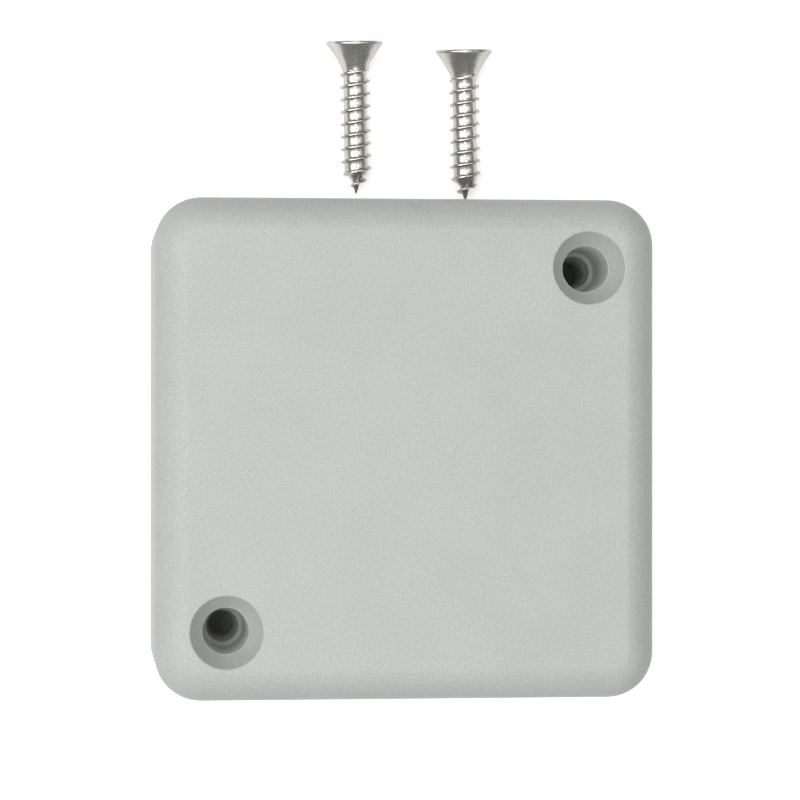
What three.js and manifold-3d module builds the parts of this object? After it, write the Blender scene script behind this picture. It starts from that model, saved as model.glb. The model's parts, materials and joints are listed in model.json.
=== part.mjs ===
// Door contact sensor, battery powered and wireless: a square moulded housing whose cover is held by two
// countersunk self-tapping screws. The two screws lie loose beside the housing, as they come in the box.
// Millimetres, +Z up. The housing lies on its back, with its front face up, and the origin is the centre
// of the back face. +Y is the side that the screws lie at.
import * as THREE from "three";
import { mergeVertices } from "three/addons/utils/BufferGeometryUtils.js";
import Module from "manifold-3d";

const wasm = await Module();
wasm.setup();

// ---------------------------------------------------------------- driving dimensions

const GAP = 0.3; // clearance between pieces that touch on the real object
const FINE_GAP = 0.15; // clearance under the small soldered parts

// the rounded edge meets the front face at a faint crease of 17 degrees
const HOUSING = { side: 50, height: 20, cornerRadius: 4.6, edgeWidth: 3.1, crease: 17, wall: 2 };
const RIB_ROOT = 0.4; // how far an inner rib runs into the wall or top that carries it
const BASE = { thickness: 2.2, edgeChamfer: 0.4, rimWall: 1.2, rimHeight: 1.8 };
const WELL = {
  offset: 18, // from the housing's centre lines, on one diagonal
  rimRadius: 3.63,
  coneDepth: 2.5,
  mouthRadius: 2.37,
  shoulderRadius: 2.1,
  shoulderDepth: 10.3,
  holeRadius: 1.65,
  tubeRadius: 3.7,
  floor: 1.6,
};
const BOSS = { radius: 3.2, pilotRadius: 1.3, pilotFloor: 2.4, leadRadius: 1.75, leadDepth: 0.6 };
const WALL_HOLE = { offset: 18, radius: 1.8, sinkRadius: 3.4, sinkDepth: 1.3 };

const BOARD = { side: 42, thickness: 1.6, notch: 7.4, notchRadius: 1.2, cornerRadius: 0.8 };
const POST = { x: 18.2, y: 11.4, radius: 2.1, height: 2.5, pilotRadius: 1.15, pinRadius: 0.9, pinHeight: 2 };
const BOARD_SCREW = { headRadius: 1.9, headHeight: 1.4, radius: 1, length: 4 };

const SCREW = {
  length: 15.9,
  headRadius: 2.95,
  headEdge: 0.3,
  flareLength: 3.3, // from the head's edge down to the plain core
  coreRadius: 1.2,
  threadRadius: 1.6,
  pitch: 1.29,
  threadStart: 0.7, // above the point
  fullThread: 2.6, // above the point, where the thread reaches its full radius
  pointLength: 1.8,
  turns: 9.5,
  recessSpan: 3,
  recessWidth: 0.75,
  recessDepth: 1.5,
};
const LOOSE_SCREWS = [
  { name: "cover_screw_1", tip: [-3.56, 26.5], head: [-3.93, 42.3] },
  { name: "cover_screw_2", tip: [7.95, 25.75], head: [7.54, 41.55] },
];

const CELL = { x: 3.6, radius: 10, thickness: 3.2, capRadius: 8.9, capHeight: 0.5 };
const HOLDER = { innerRadius: 10.4, outerRadius: 11.8, floor: 0.8, reach: 7 };
const SHEET = 0.3; // thickness of the battery clip and contact
const REED = { x: 18.4, glassRadius: 1.05, glassBore: 0.75, glassHalf: 6.5, sealLength: 1.2, lead: 0.28, bend: 8.4 };
const BLADE = { root: 5.05, tip: 0.9, width: 1, thickness: 0.18, gap: 0.24 };
const RADIO = { y: 16.6, width: 20, depth: 8, thickness: 0.8 };
const SHIELD = { x: 2.5, width: 11, depth: 6.6, height: 2, wall: 0.25 };
const SWITCH = { side: 6, height: 3.4, pocketRadius: 1.9, pocketDepth: 1.2, plungerRadius: 1.7 };
const PAIRING = { x: -8, y: -16.8, top: 12 };
const TAMPER = { x: 8, y: -16.8, top: 13, postRadius: 1.7 };

// levels worked out from the sizes above
const COVER_BOTTOM = BASE.thickness + GAP;
const CAVITY_TOP = HOUSING.height - HOUSING.wall;
const WELL_BOTTOM = HOUSING.height - WELL.shoulderDepth - WELL.floor;
const POST_TOP = BASE.thickness + POST.height;
const BOARD_BOTTOM = POST_TOP + GAP;
const BOARD_TOP = BOARD_BOTTOM + BOARD.thickness;
const PARTS_BOTTOM = BOARD_TOP + FINE_GAP;
const HOLDER_BOTTOM = BOARD_TOP + GAP;
const CONTACT_BOTTOM = HOLDER_BOTTOM + HOLDER.floor + FINE_GAP;
const CELL_BOTTOM = CONTACT_BOTTOM + 3 * SHEET;
const CELL_TOP = CELL_BOTTOM + CELL.thickness;
const REED_Z = PARTS_BOTTOM + REED.glassRadius + GAP;
// a loose screw lies on its head's edge and its first full thread, so it leans by this angle
const SCREW_LEAN = Math.atan2(
  SCREW.headRadius - SCREW.threadRadius,
  SCREW.length - SCREW.headEdge - SCREW.fullThread,
);

// the two corners that hold the cover's screws, and the other two
const SCREW_CORNERS = [
  [1, 1],
  [-1, -1],
];
const WALL_CORNERS = [
  [1, -1],
  [-1, 1],
];

// ---------------------------------------------------------------- solids

// A closed three.js geometry as a solid that can be joined and cut.
function solid(geometry) {
  const bare = geometry.clone();
  bare.deleteAttribute("normal");
  bare.deleteAttribute("uv");
  const merged = mergeVertices(bare, 1e-4);
  return new wasm.Manifold(
    new wasm.Mesh({
      numProp: 3,
      vertProperties: merged.attributes.position.array,
      triVerts: new Uint32Array(merged.index.array),
    }),
  );
}

function geometryOf(made) {
  const mesh = made.getMesh();
  const geometry = new THREE.BufferGeometry();
  geometry.setAttribute("position", new THREE.BufferAttribute(new Float32Array(mesh.vertProperties), 3));
  geometry.setIndex(new THREE.BufferAttribute(new Uint32Array(mesh.triVerts), 1));
  geometry.computeVertexNormals();
  return geometry;
}

const join = (...pieces) => pieces.reduce((whole, piece) => whole.add(piece));
const cut = (whole, ...tools) => tools.reduce((left, tool) => left.subtract(tool), whole);

// ---------------------------------------------------------------- basic shapes, each a closed geometry

function box([x0, y0, z0], [x1, y1, z1]) {
  const geometry = new THREE.BoxGeometry(x1 - x0, y1 - y0, z1 - z0);
  return geometry.translate((x0 + x1) / 2, (y0 + y1) / 2, (z0 + z1) / 2);
}

// A box of a given plan size, centred on (x, y), that stands on the level z.
function chip(x, y, z, width, depth, height) {
  return box([x - width / 2, y - depth / 2, z], [x + width / 2, y + depth / 2, z + height]);
}

function rod(x, y, z0, z1, radius, sides = 20) {
  const geometry = new THREE.CylinderGeometry(radius, radius, z1 - z0, sides);
  return geometry.rotateX(Math.PI / 2).translate(x, y, (z0 + z1) / 2);
}

// A body turned about a vertical axis through (x, y), from [radius, z] points that run upwards.
function turned(profile, x = 0, y = 0, sides = 24) {
  const points = profile.map(([radius, z]) => new THREE.Vector2(radius, z));
  const geometry = new THREE.LatheGeometry(points, sides);
  return geometry.rotateX(Math.PI / 2).translate(x, y, 0);
}

// The outline of a square with round corners, counter-clockwise.
function roundedSquare(side, radius, steps) {
  const outline = [];
  const centre = side / 2 - radius;
  for (const quarter of [0, 1, 2, 3]) {
    const start = (quarter * Math.PI) / 2;
    const x = centre * (quarter === 0 || quarter === 3 ? 1 : -1);
    const y = centre * (quarter < 2 ? 1 : -1);
    for (let step = 0; step <= steps; step++) {
      const angle = start + ((Math.PI / 2) * step) / steps;
      outline.push([x + radius * Math.cos(angle), y + radius * Math.sin(angle)]);
    }
  }
  return outline;
}

// A closed body through rounded squares stacked from the lowest level to the highest.
function stackedSquares(levels, steps = 6) {
  const rings = levels.map(({ side, radius, z }) => roundedSquare(side, radius, steps).map(([x, y]) => [x, y, z]));
  const count = rings[0].length;
  const positions = rings.flat(2);
  const faces = [];
  for (let ring = 0; ring + 1 < rings.length; ring++)
    for (let i = 0; i < count; i++) {
      const next = (i + 1) % count;
      const [a, b] = [ring * count + i, ring * count + next];
      faces.push(a, b, b + count, a, b + count, a + count);
    }
  const bottom = rings.length * count;
  const top = bottom + 1;
  positions.push(0, 0, levels[0].z, 0, 0, levels.at(-1).z);
  for (let i = 0; i < count; i++) {
    const next = (i + 1) % count;
    const last = (rings.length - 1) * count;
    faces.push(bottom, next, i, top, last + i, last + next);
  }
  const geometry = new THREE.BufferGeometry();
  geometry.setAttribute("position", new THREE.Float32BufferAttribute(positions, 3));
  geometry.setIndex(faces);
  return geometry;
}

// A block with its upper edge rounded over a band of a given width. The round meets the top at the
// crease angle, in degrees: at 0 it runs smoothly into the top.
function roundedBlock(side, cornerRadius, z0, z1, edgeWidth, edgeSteps, crease = 0) {
  const meeting = THREE.MathUtils.degToRad(crease);
  const radius = edgeWidth / (1 - Math.sin(meeting));
  const levels = [{ side, radius: cornerRadius, z: z0 }];
  for (let step = 0; step <= edgeSteps; step++) {
    const angle = ((Math.PI / 2 - meeting) * step) / edgeSteps;
    const inset = radius * (1 - Math.cos(angle));
    levels.push({
      side: side - 2 * inset,
      radius: cornerRadius - inset,
      z: z1 - radius * (Math.cos(meeting) - Math.sin(angle)),
    });
  }
  return stackedSquares(levels);
}

// A strip of sheet metal: a bent line in the XZ plane, given its thickness and a width along Y.
function strip(line, thickness, width, y = 0) {
  const up = line.map(([x, z], i) => {
    const [x0, z0] = line[Math.max(i - 1, 0)];
    const [x1, z1] = line[Math.min(i + 1, line.length - 1)];
    const length = Math.hypot(x1 - x0, z1 - z0);
    return [x - ((z1 - z0) / length) * thickness, z + ((x1 - x0) / length) * thickness];
  });
  const outline = [...line, ...up.reverse()].map(([x, z]) => new THREE.Vector2(x, z));
  const geometry = new THREE.ExtrudeGeometry(new THREE.Shape(outline), { depth: width, bevelEnabled: false });
  return geometry.rotateX(Math.PI / 2).translate(0, y + width / 2, 0);
}

// A round wire along a smooth path.
function wire(path, radius, steps, sides = 8) {
  const section = new THREE.Shape();
  for (let i = 0; i < sides; i++) {
    const angle = (2 * Math.PI * i) / sides;
    const [x, y] = [radius * Math.cos(angle), radius * Math.sin(angle)];
    if (i === 0) section.moveTo(x, y);
    else section.lineTo(x, y);
  }
  const extrudePath = new THREE.CatmullRomCurve3(path.map((point) => new THREE.Vector3(...point)));
  return new THREE.ExtrudeGeometry(section, { steps, extrudePath, bevelEnabled: false });
}

// ---------------------------------------------------------------- housing

function wellTool() {
  const top = HOUSING.height;
  const slope = (WELL.rimRadius - WELL.mouthRadius) / WELL.coneDepth;
  const above = 1;
  return [
    [0, WELL_BOTTOM - 1],
    [WELL.holeRadius, WELL_BOTTOM - 1],
    [WELL.holeRadius, top - WELL.shoulderDepth],
    [WELL.shoulderRadius, top - WELL.shoulderDepth],
    [WELL.mouthRadius, top - WELL.coneDepth],
    [WELL.rimRadius + above * slope, top + above],
    [0, top + above],
  ];
}

// Ribs that tie a screw tube to the two walls beside it.
function gussets(x, y) {
  const half = 0.6;
  const bottom = WELL_BOTTOM + 1;
  const reach = HOUSING.side / 2 - HOUSING.wall + RIB_ROOT;
  const along = (sign, from) => [Math.min(sign * from, sign * reach), Math.max(sign * from, sign * reach)];
  const [signX, signY] = [Math.sign(x), Math.sign(y)];
  const [x0, x1] = along(signX, Math.abs(x) + WELL.mouthRadius + 0.6);
  const [y0, y1] = along(signY, Math.abs(y) + WELL.mouthRadius + 0.6);
  const top = CAVITY_TOP + RIB_ROOT;
  return [box([x0, y - half, bottom], [x1, y + half, top]), box([x - half, y0, bottom], [x + half, y1, top])];
}

// Thin upright ribs on the inside of the four walls, which stiffen them.
function wallRibs() {
  const spacing = 9;
  const [half, depth] = [0.5, 0.6];
  const face = HOUSING.side / 2 - HOUSING.wall;
  const [bottom, top] = [BASE.thickness + BASE.rimHeight + 2 * GAP, CAVITY_TOP + RIB_ROOT];
  const ribs = [];
  for (const side of [-1, 1])
    for (const place of [-spacing, spacing]) {
      const [near, far] = [side * (face - depth), side * (face + RIB_ROOT)].sort((a, b) => a - b);
      ribs.push(box([near, place - half, bottom], [far, place + half, top]));
      ribs.push(box([place - half, near, bottom], [place + half, far, top]));
    }
  return ribs;
}

function cover() {
  const outside = roundedBlock(
    HOUSING.side,
    HOUSING.cornerRadius,
    COVER_BOTTOM,
    HOUSING.height,
    HOUSING.edgeWidth,
    5,
    HOUSING.crease,
  );
  const inside = roundedBlock(
    HOUSING.side - 2 * HOUSING.wall,
    HOUSING.cornerRadius - HOUSING.wall,
    COVER_BOTTOM - 1,
    CAVITY_TOP,
    HOUSING.edgeWidth - HOUSING.wall,
    2,
  );
  const shell = cut(solid(outside), solid(inside));
  const inner = [...wallRibs(), rod(TAMPER.x, TAMPER.y, TAMPER.top + GAP, CAVITY_TOP + 1, TAMPER.postRadius)];
  const tools = [];
  for (const [signX, signY] of SCREW_CORNERS) {
    const [x, y] = [signX * WELL.offset, signY * WELL.offset];
    inner.push(rod(x, y, WELL_BOTTOM, CAVITY_TOP + 1, WELL.tubeRadius, 24), ...gussets(x, y));
    tools.push(solid(turned(wellTool(), x, y, 32)));
  }
  return geometryOf(cut(join(shell, ...inner.map(solid)), ...tools));
}

// The pilot hole for a cover screw, with a conical lead-in at the boss's mouth.
function pilotTool() {
  const mouth = WELL_BOTTOM - GAP;
  const { pilotRadius, pilotFloor, leadRadius, leadDepth } = BOSS;
  return [
    [0, pilotFloor],
    [pilotRadius, pilotFloor],
    [pilotRadius, mouth - leadDepth],
    [leadRadius, mouth],
    [leadRadius, mouth + 1],
    [0, mouth + 1],
  ];
}

function base() {
  const { thickness, edgeChamfer, rimWall, rimHeight } = BASE;
  const plate = stackedSquares([
    { side: HOUSING.side - 2 * edgeChamfer, radius: HOUSING.cornerRadius - edgeChamfer, z: 0 },
    { side: HOUSING.side, radius: HOUSING.cornerRadius, z: edgeChamfer },
    { side: HOUSING.side, radius: HOUSING.cornerRadius, z: thickness },
  ]);
  const rimSide = HOUSING.side - 2 * (HOUSING.wall + GAP);
  const rimRadius = HOUSING.cornerRadius - HOUSING.wall - GAP;
  const rimOutside = stackedSquares([
    { side: rimSide, radius: rimRadius, z: thickness / 2 },
    { side: rimSide, radius: rimRadius, z: thickness + rimHeight },
  ]);
  const rimInside = stackedSquares([
    { side: rimSide - 2 * rimWall, radius: rimRadius - rimWall, z: 0 },
    { side: rimSide - 2 * rimWall, radius: rimRadius - rimWall, z: thickness + rimHeight + 1 },
  ]);
  const added = [cut(solid(rimOutside), solid(rimInside))];
  const tools = [];
  for (const [signX, signY] of SCREW_CORNERS) {
    const [x, y] = [signX * WELL.offset, signY * WELL.offset];
    added.push(solid(rod(x, y, thickness / 2, WELL_BOTTOM - GAP, BOSS.radius, 24)));
    tools.push(turned(pilotTool(), x, y, 24));
  }
  for (const [signX, signY] of WALL_CORNERS) {
    const [x, y] = [signX * WALL_HOLE.offset, signY * WALL_HOLE.offset];
    const sinkBottom = thickness - WALL_HOLE.sinkDepth;
    const profile = [
      [0, -1],
      [WALL_HOLE.radius, -1],
      [WALL_HOLE.radius, sinkBottom],
      [WALL_HOLE.sinkRadius, thickness],
      [WALL_HOLE.sinkRadius, thickness + 1],
      [0, thickness + 1],
    ];
    tools.push(turned(profile, x, y));
  }
  for (const signX of [-1, 1])
    for (const signY of [-1, 1]) {
      const [x, y] = [signX * POST.x, signY * POST.y];
      added.push(solid(rod(x, y, thickness / 2, POST_TOP, POST.radius)));
      if (signX === signY) added.push(solid(rod(x, y, thickness, POST_TOP + POST.pinHeight, POST.pinRadius, 12)));
      else tools.push(rod(x, y, thickness + GAP, POST_TOP + 1, POST.pilotRadius, 12));
    }
  return geometryOf(cut(join(solid(plate), ...added), ...tools.map(solid)));
}

// ---------------------------------------------------------------- loose cover screws

// The point is a slender cone, which swells to the full core within half a millimetre.
function coreRadiusAt(z) {
  const slender = 0.1 + 0.25 * z;
  const swell = THREE.MathUtils.smoothstep(z, SCREW.pointLength - 0.3, SCREW.pointLength + 0.5);
  return THREE.MathUtils.lerp(slender, SCREW.coreRadius, swell);
}

// The head's underside is a trumpet: its radius falls quickly at first and then runs into the core.
function flareRadiusAt(depth) {
  const steepness = 1.55;
  const left = Math.max(0, 1 - depth / SCREW.flareLength);
  return SCREW.coreRadius + (SCREW.headRadius - SCREW.coreRadius) * left ** steepness;
}

// A sharp ridge wound up the core: it grows out of the point and dies away under the head.
function threadRidge() {
  const perTurn = 16;
  const sections = Math.round(SCREW.turns * perTurn);
  const buried = 0.25;
  const halfRoot = SCREW.pitch * 0.28;
  const positions = [];
  const faces = [];
  for (let i = 0; i <= sections; i++) {
    const angle = (2 * Math.PI * i) / perTurn;
    const z = SCREW.threadStart + (SCREW.pitch * i) / perTurn;
    const root = Math.max(0.05, coreRadiusAt(z) - buried);
    const grown = THREE.MathUtils.mapLinear(z, 0, SCREW.fullThread, 0.45, SCREW.threadRadius);
    const dying = THREE.MathUtils.mapLinear(i, sections, sections - perTurn * 0.75, root, SCREW.threadRadius);
    const crest = Math.min(SCREW.threadRadius, grown, dying) + 0.02;
    for (const [radius, rise] of [
      [root, -halfRoot],
      [crest, 0],
      [root, halfRoot],
    ])
      positions.push(radius * Math.cos(angle), radius * Math.sin(angle), z + rise);
  }
  for (let i = 0; i < sections; i++)
    for (let k = 0; k < 3; k++) {
      const [a, b] = [3 * i + k, 3 * i + ((k + 1) % 3)];
      faces.push(a, a + 3, b + 3, a, b + 3, b);
    }
  const last = 3 * sections;
  faces.push(0, 1, 2, last, last + 2, last + 1);
  const geometry = new THREE.BufferGeometry();
  geometry.setAttribute("position", new THREE.Float32BufferAttribute(positions, 3));
  geometry.setIndex(faces);
  return geometry;
}

function crossRecess(span, width, depth, top) {
  const bar = box([-span / 2, -width / 2, top - depth], [span / 2, width / 2, top + 1]);
  return solid(bar).add(solid(bar.clone().rotateZ(Math.PI / 2)));
}

// A cover screw that stands on its point at the origin.
function coverScrew() {
  const { length, headRadius, headEdge, flareLength } = SCREW;
  const profile = [[0, 0]];
  for (const z of [0.08, 1.4, 1.9, 2.4]) profile.push([coreRadiusAt(z), z]);
  for (const share of [1, 0.7, 0.45, 0.25, 0.1, 0]) {
    const depth = share * flareLength;
    profile.push([flareRadiusAt(depth), length - headEdge - depth]);
  }
  profile.push([headRadius, length - 0.08], [headRadius - 0.12, length], [0, length]);
  const body = join(solid(turned(profile, 0, 0, 20)), solid(threadRidge()));
  return geometryOf(cut(body, crossRecess(SCREW.recessSpan, SCREW.recessWidth, SCREW.recessDepth, length)));
}

// ---------------------------------------------------------------- circuit board and its screws

function circuitBoard() {
  const half = BOARD.side / 2;
  const inner = half - BOARD.notch;
  const outline = new THREE.Shape();
  const { notchRadius, cornerRadius } = BOARD;
  outline.moveTo(half, 0);
  for (const quarter of [0, 1, 2, 3]) {
    const angle = (quarter * Math.PI) / 2;
    const turn = (x, y) => [x * Math.cos(angle) - y * Math.sin(angle), x * Math.sin(angle) + y * Math.cos(angle)];
    outline.lineTo(...turn(half, inner - cornerRadius));
    outline.absarc(...turn(half - cornerRadius, inner - cornerRadius), cornerRadius, angle, angle + Math.PI / 2);
    outline.lineTo(...turn(inner + notchRadius, inner));
    const bend = turn(inner + notchRadius, inner + notchRadius);
    outline.absarc(...bend, notchRadius, angle - Math.PI / 2, angle - Math.PI, true);
    outline.lineTo(...turn(inner, half - cornerRadius));
    outline.absarc(...turn(inner - cornerRadius, half - cornerRadius), cornerRadius, angle, angle + Math.PI / 2);
  }
  const sheet = new THREE.ExtrudeGeometry(outline, {
    depth: BOARD.thickness,
    bevelEnabled: false,
    curveSegments: 4,
  }).translate(0, 0, BOARD_BOTTOM);
  const holes = [];
  for (const signX of [-1, 1])
    for (const signY of [-1, 1]) holes.push([signX * POST.x, signY * POST.y, POST.pilotRadius + GAP / 2]);
  for (const signY of [-1, 1]) holes.push([REED.x, signY * REED.bend, REED.lead + GAP]);
  const drills = holes.map(([x, y, radius]) => solid(rod(x, y, BOARD_BOTTOM - 1, BOARD_TOP + 1, radius, 12)));
  return geometryOf(cut(solid(sheet), ...drills));
}

function boardScrew(x, y) {
  const { headRadius, headHeight, radius, length } = BOARD_SCREW;
  const under = BOARD_TOP + GAP;
  const profile = [
    [0, under - length],
    [radius, under - length + 0.6],
    [radius, under],
    [headRadius, under],
    [headRadius, under + headHeight * 0.45],
    [headRadius * 0.75, under + headHeight * 0.9],
    [headRadius * 0.35, under + headHeight],
    [0, under + headHeight],
  ];
  const recess = crossRecess(2, 0.5, 0.8, under + headHeight).translate([x, y, 0]);
  return geometryOf(cut(solid(turned(profile, x, y, 16)), recess));
}

// ---------------------------------------------------------------- reed switch

function reedGlass() {
  const { glassRadius, glassBore, glassHalf, sealLength, lead } = REED;
  const hole = lead + FINE_GAP;
  const inner = glassHalf - sealLength;
  const outside = [
    [0, -glassHalf],
    [0.6 * glassRadius, -glassHalf],
    [glassRadius, -glassHalf + 0.5],
    [glassRadius, glassHalf - 0.5],
    [0.6 * glassRadius, glassHalf],
    [0, glassHalf],
  ];
  const bore = [
    [0, -glassHalf - 1],
    [hole, -glassHalf - 1],
    [hole, -inner - 0.3],
    [glassBore, -inner],
    [glassBore, inner],
    [hole, inner + 0.3],
    [hole, glassHalf + 1],
    [0, glassHalf + 1],
  ];
  const tube = geometryOf(cut(solid(turned(outside, 0, 0, 16)), solid(turned(bore, 0, 0, 16))));
  return tube.rotateX(Math.PI / 2).translate(REED.x, 0, REED_Z);
}

// A lead runs out of the glass, bends down and goes through the board.
function reedLead(sign) {
  const { x, bend, glassHalf, sealLength, lead } = REED;
  const corner = 0.6;
  const path = [
    [x, sign * (glassHalf - sealLength), REED_Z],
    [x, sign * (bend - 2 * corner), REED_Z],
    [x, sign * (bend - 0.3 * corner), REED_Z - 0.3 * corner],
    [x, sign * bend, REED_Z - 2 * corner],
    [x, sign * bend, BOARD_BOTTOM - 1.2],
  ];
  return wire(path, lead, 16);
}

// A blade, whose free end overlaps the other blade's with a small gap.
function reedBlade(sign) {
  const { root, tip, width, thickness, gap } = BLADE;
  const [y0, y1] = sign < 0 ? [-root, tip] : [-tip, root];
  const level = REED_Z + (sign < 0 ? gap / 2 : -gap / 2 - thickness);
  return box([REED.x - width / 2, y0, level], [REED.x + width / 2, y1, level + thickness]);
}

// ---------------------------------------------------------------- battery

function battery() {
  const { x, radius, thickness, capRadius, capHeight } = CELL;
  return turned(
    [
      [0, CELL_BOTTOM],
      [capRadius, CELL_BOTTOM],
      [capRadius, CELL_BOTTOM + capHeight],
      [radius, CELL_BOTTOM + capHeight],
      [radius, CELL_BOTTOM + thickness - 0.25],
      [radius - 0.25, CELL_BOTTOM + thickness],
      [0, CELL_BOTTOM + thickness],
    ],
    x,
    0,
    32,
  );
}

// The outline of a tongue with a round end towards +X and a square end towards -X.
function tongue(radius, reach, z0, z1) {
  const outline = new THREE.Shape();
  outline.moveTo(CELL.x - reach, -radius);
  outline.lineTo(CELL.x, -radius);
  outline.absarc(CELL.x, 0, radius, -Math.PI / 2, Math.PI / 2);
  outline.lineTo(CELL.x - reach, radius);
  outline.closePath();
  const depth = z1 - z0;
  return new THREE.ExtrudeGeometry(outline, { depth, bevelEnabled: false, curveSegments: 14 }).translate(0, 0, z0);
}

function batteryHolder() {
  const { innerRadius, outerRadius, floor, reach } = HOLDER;
  const outside = tongue(outerRadius, reach, HOLDER_BOTTOM, CELL_TOP + GAP);
  const inside = tongue(innerRadius, reach + 1, HOLDER_BOTTOM + floor, CELL_TOP + 1);
  const slot = box([CELL.x + outerRadius - 3, -3.4, CELL_TOP - 0.8], [CELL.x + outerRadius + 1, 3.4, CELL_TOP + 1]);
  return geometryOf(cut(solid(outside), solid(inside), solid(slot)));
}

// The positive strap stands on the board, goes over the holder's wall and presses on the cell.
function batteryClip() {
  const leg = CELL.x + HOLDER.outerRadius + GAP + SHEET;
  const over = CELL_TOP + 2 * GAP;
  const line = [
    [CELL.x - 6.5, over + 0.7],
    [CELL.x - 5, over - 0.25],
    [CELL.x - 3.5, over - 0.25],
    [CELL.x, over],
    [leg - 0.8, over],
    [leg - 0.2, over - 0.25],
    [leg, over - 0.8],
    [leg, PARTS_BOTTOM],
  ];
  return strip(line, SHEET, 6);
}

// The negative contact lies on the holder's floor and is arched towards the cell.
function batteryContact() {
  const line = [];
  for (let step = -6; step <= 6; step++) {
    const rise = SHEET * 1.4 * (0.5 + 0.5 * Math.cos((Math.PI * step) / 6));
    line.push([CELL.x - 1 + step, CONTACT_BOTTOM + rise]);
  }
  return strip(line, SHEET * 0.6, 4);
}

// ---------------------------------------------------------------- radio module

const RADIO_BOTTOM = BOARD_TOP + FINE_GAP;
const RADIO_TOP = RADIO_BOTTOM + RADIO.thickness;

function radioShield() {
  const { x, width, depth, height, wall } = SHIELD;
  const bottom = RADIO_TOP + FINE_GAP;
  const can = chip(x, RADIO.y, bottom, width, depth, height);
  const hollow = chip(x, RADIO.y, bottom - 1, width - 2 * wall, depth - 2 * wall, height - wall + 1);
  return geometryOf(cut(solid(can), solid(hollow)));
}

// ---------------------------------------------------------------- switches and small parts

function switchBody({ x, y }) {
  const block = chip(x, y, PARTS_BOTTOM, SWITCH.side, SWITCH.side, SWITCH.height);
  const top = PARTS_BOTTOM + SWITCH.height;
  const pocket = rod(x, y, top - SWITCH.pocketDepth, top + 1, SWITCH.pocketRadius, 20);
  return geometryOf(cut(solid(block), solid(pocket)));
}

// The plunger stands clear of the pocket's floor by more than its travel.
function switchPlunger({ x, y, top }) {
  const bottom = PARTS_BOTTOM + SWITCH.height - SWITCH.pocketDepth + 2 * GAP;
  const radius = SWITCH.plungerRadius;
  return turned(
    [
      [0, bottom],
      [radius, bottom],
      [radius, top - 0.3],
      [radius - 0.3, top],
      [0, top],
    ],
    x,
    y,
    20,
  );
}

function bulkCapacitor() {
  const [x, y, radius, height, stand] = [0, -16.6, 2.5, 5.4, 0.9];
  const foot = chip(x, y, PARTS_BOTTOM, 2 * radius + 0.3, 2 * radius + 0.3, stand);
  const can = turned(
    [
      [0, PARTS_BOTTOM + stand / 2],
      [radius, PARTS_BOTTOM + stand / 2],
      [radius, PARTS_BOTTOM + height - 0.25],
      [radius - 0.25, PARTS_BOTTOM + height],
      [0, PARTS_BOTTOM + height],
    ],
    x,
    y,
    20,
  );
  return geometryOf(join(solid(foot), solid(can)));
}

function voltageRegulator() {
  const [x, y] = [-14.5, -7];
  const body = chip(x, y, PARTS_BOTTOM + 0.1, 2.9, 1.4, 1);
  const legs = [
    [-0.95, -1],
    [0.95, -1],
    [0, 1],
  ].map(([dx, side]) => chip(x + dx, y + side * 0.9, PARTS_BOTTOM, 0.4, 0.9, 0.35));
  return geometryOf(join(solid(body), ...legs.map(solid)));
}

function statusLed() {
  const [x, y] = [-12.3, -15.4];
  const body = chip(x, y, PARTS_BOTTOM, 1.3, 2, 0.5);
  const lens = chip(x, y, PARTS_BOTTOM + 0.25, 1.1, 1.3, 0.65);
  return geometryOf(join(solid(body), solid(lens)));
}

// ---------------------------------------------------------------- the assembly

const sensor = new THREE.Group();

const LOOKS = {
  housing: { color: 0xc5cac4, roughness: 0.62, metalness: 0 },
  plated: { color: 0xd4d2cb, roughness: 0.25, metalness: 1 },
  board: { color: 0x1f6b3f, roughness: 0.45, metalness: 0 },
  glass: { color: 0xbfd8c8, roughness: 0.05, metalness: 0 },
  nickel: { color: 0xb9b6ac, roughness: 0.35, metalness: 1 },
  black: { color: 0x1b1b1d, roughness: 0.55, metalness: 0 },
  ceramic: { color: 0xd8d2c0, roughness: 0.5, metalness: 0 },
  tan: { color: 0xa98a63, roughness: 0.6, metalness: 0 },
  lens: { color: 0xe9e2c4, roughness: 0.2, metalness: 0 },
};

function add(name, geometry, look, parent = sensor) {
  const mesh = new THREE.Mesh(geometry, new THREE.MeshStandardMaterial(LOOKS[look]));
  mesh.name = name;
  parent.add(mesh);
  return mesh;
}

add("base", base(), "housing");
add("cover", cover(), "housing");

add("circuit_board", circuitBoard(), "board");
add("board_screw_1", boardScrew(-POST.x, POST.y), "plated");
add("board_screw_2", boardScrew(POST.x, -POST.y), "plated");

add("reed_glass", reedGlass(), "glass");
add("reed_lead_1", reedLead(-1), "nickel");
add("reed_lead_2", reedLead(1), "nickel");
add("reed_blade_1", reedBlade(-1), "nickel");
add("reed_blade_2", reedBlade(1), "nickel");

add("battery_holder", batteryHolder(), "black");
add("battery_contact", batteryContact(), "nickel");
add("battery", battery(), "plated");
add("battery_clip", batteryClip(), "nickel");

add("radio_board", chip(0, RADIO.y, RADIO_BOTTOM, RADIO.width, RADIO.depth, RADIO.thickness), "board");
add("radio_shield", radioShield(), "nickel");
add("chip_antenna", chip(-7, RADIO.y, RADIO_TOP + FINE_GAP, 2, 5.2, 1.1), "ceramic");

add("microcontroller", chip(-15, 0, PARTS_BOTTOM, 7, 7, 0.9), "black");
add("crystal", chip(-15, 6.6, PARTS_BOTTOM, 3.2, 2.5, 0.8), "nickel");
add("voltage_regulator", voltageRegulator(), "black");
add("bulk_capacitor", bulkCapacitor(), "nickel");
add("status_led", statusLed(), "lens");

add("pairing_switch", switchBody(PAIRING), "black");
add("pairing_button", switchPlunger(PAIRING), "ceramic");
add("tamper_switch", switchBody(TAMPER), "black");
add("tamper_plunger", switchPlunger(TAMPER), "ceramic");

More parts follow.
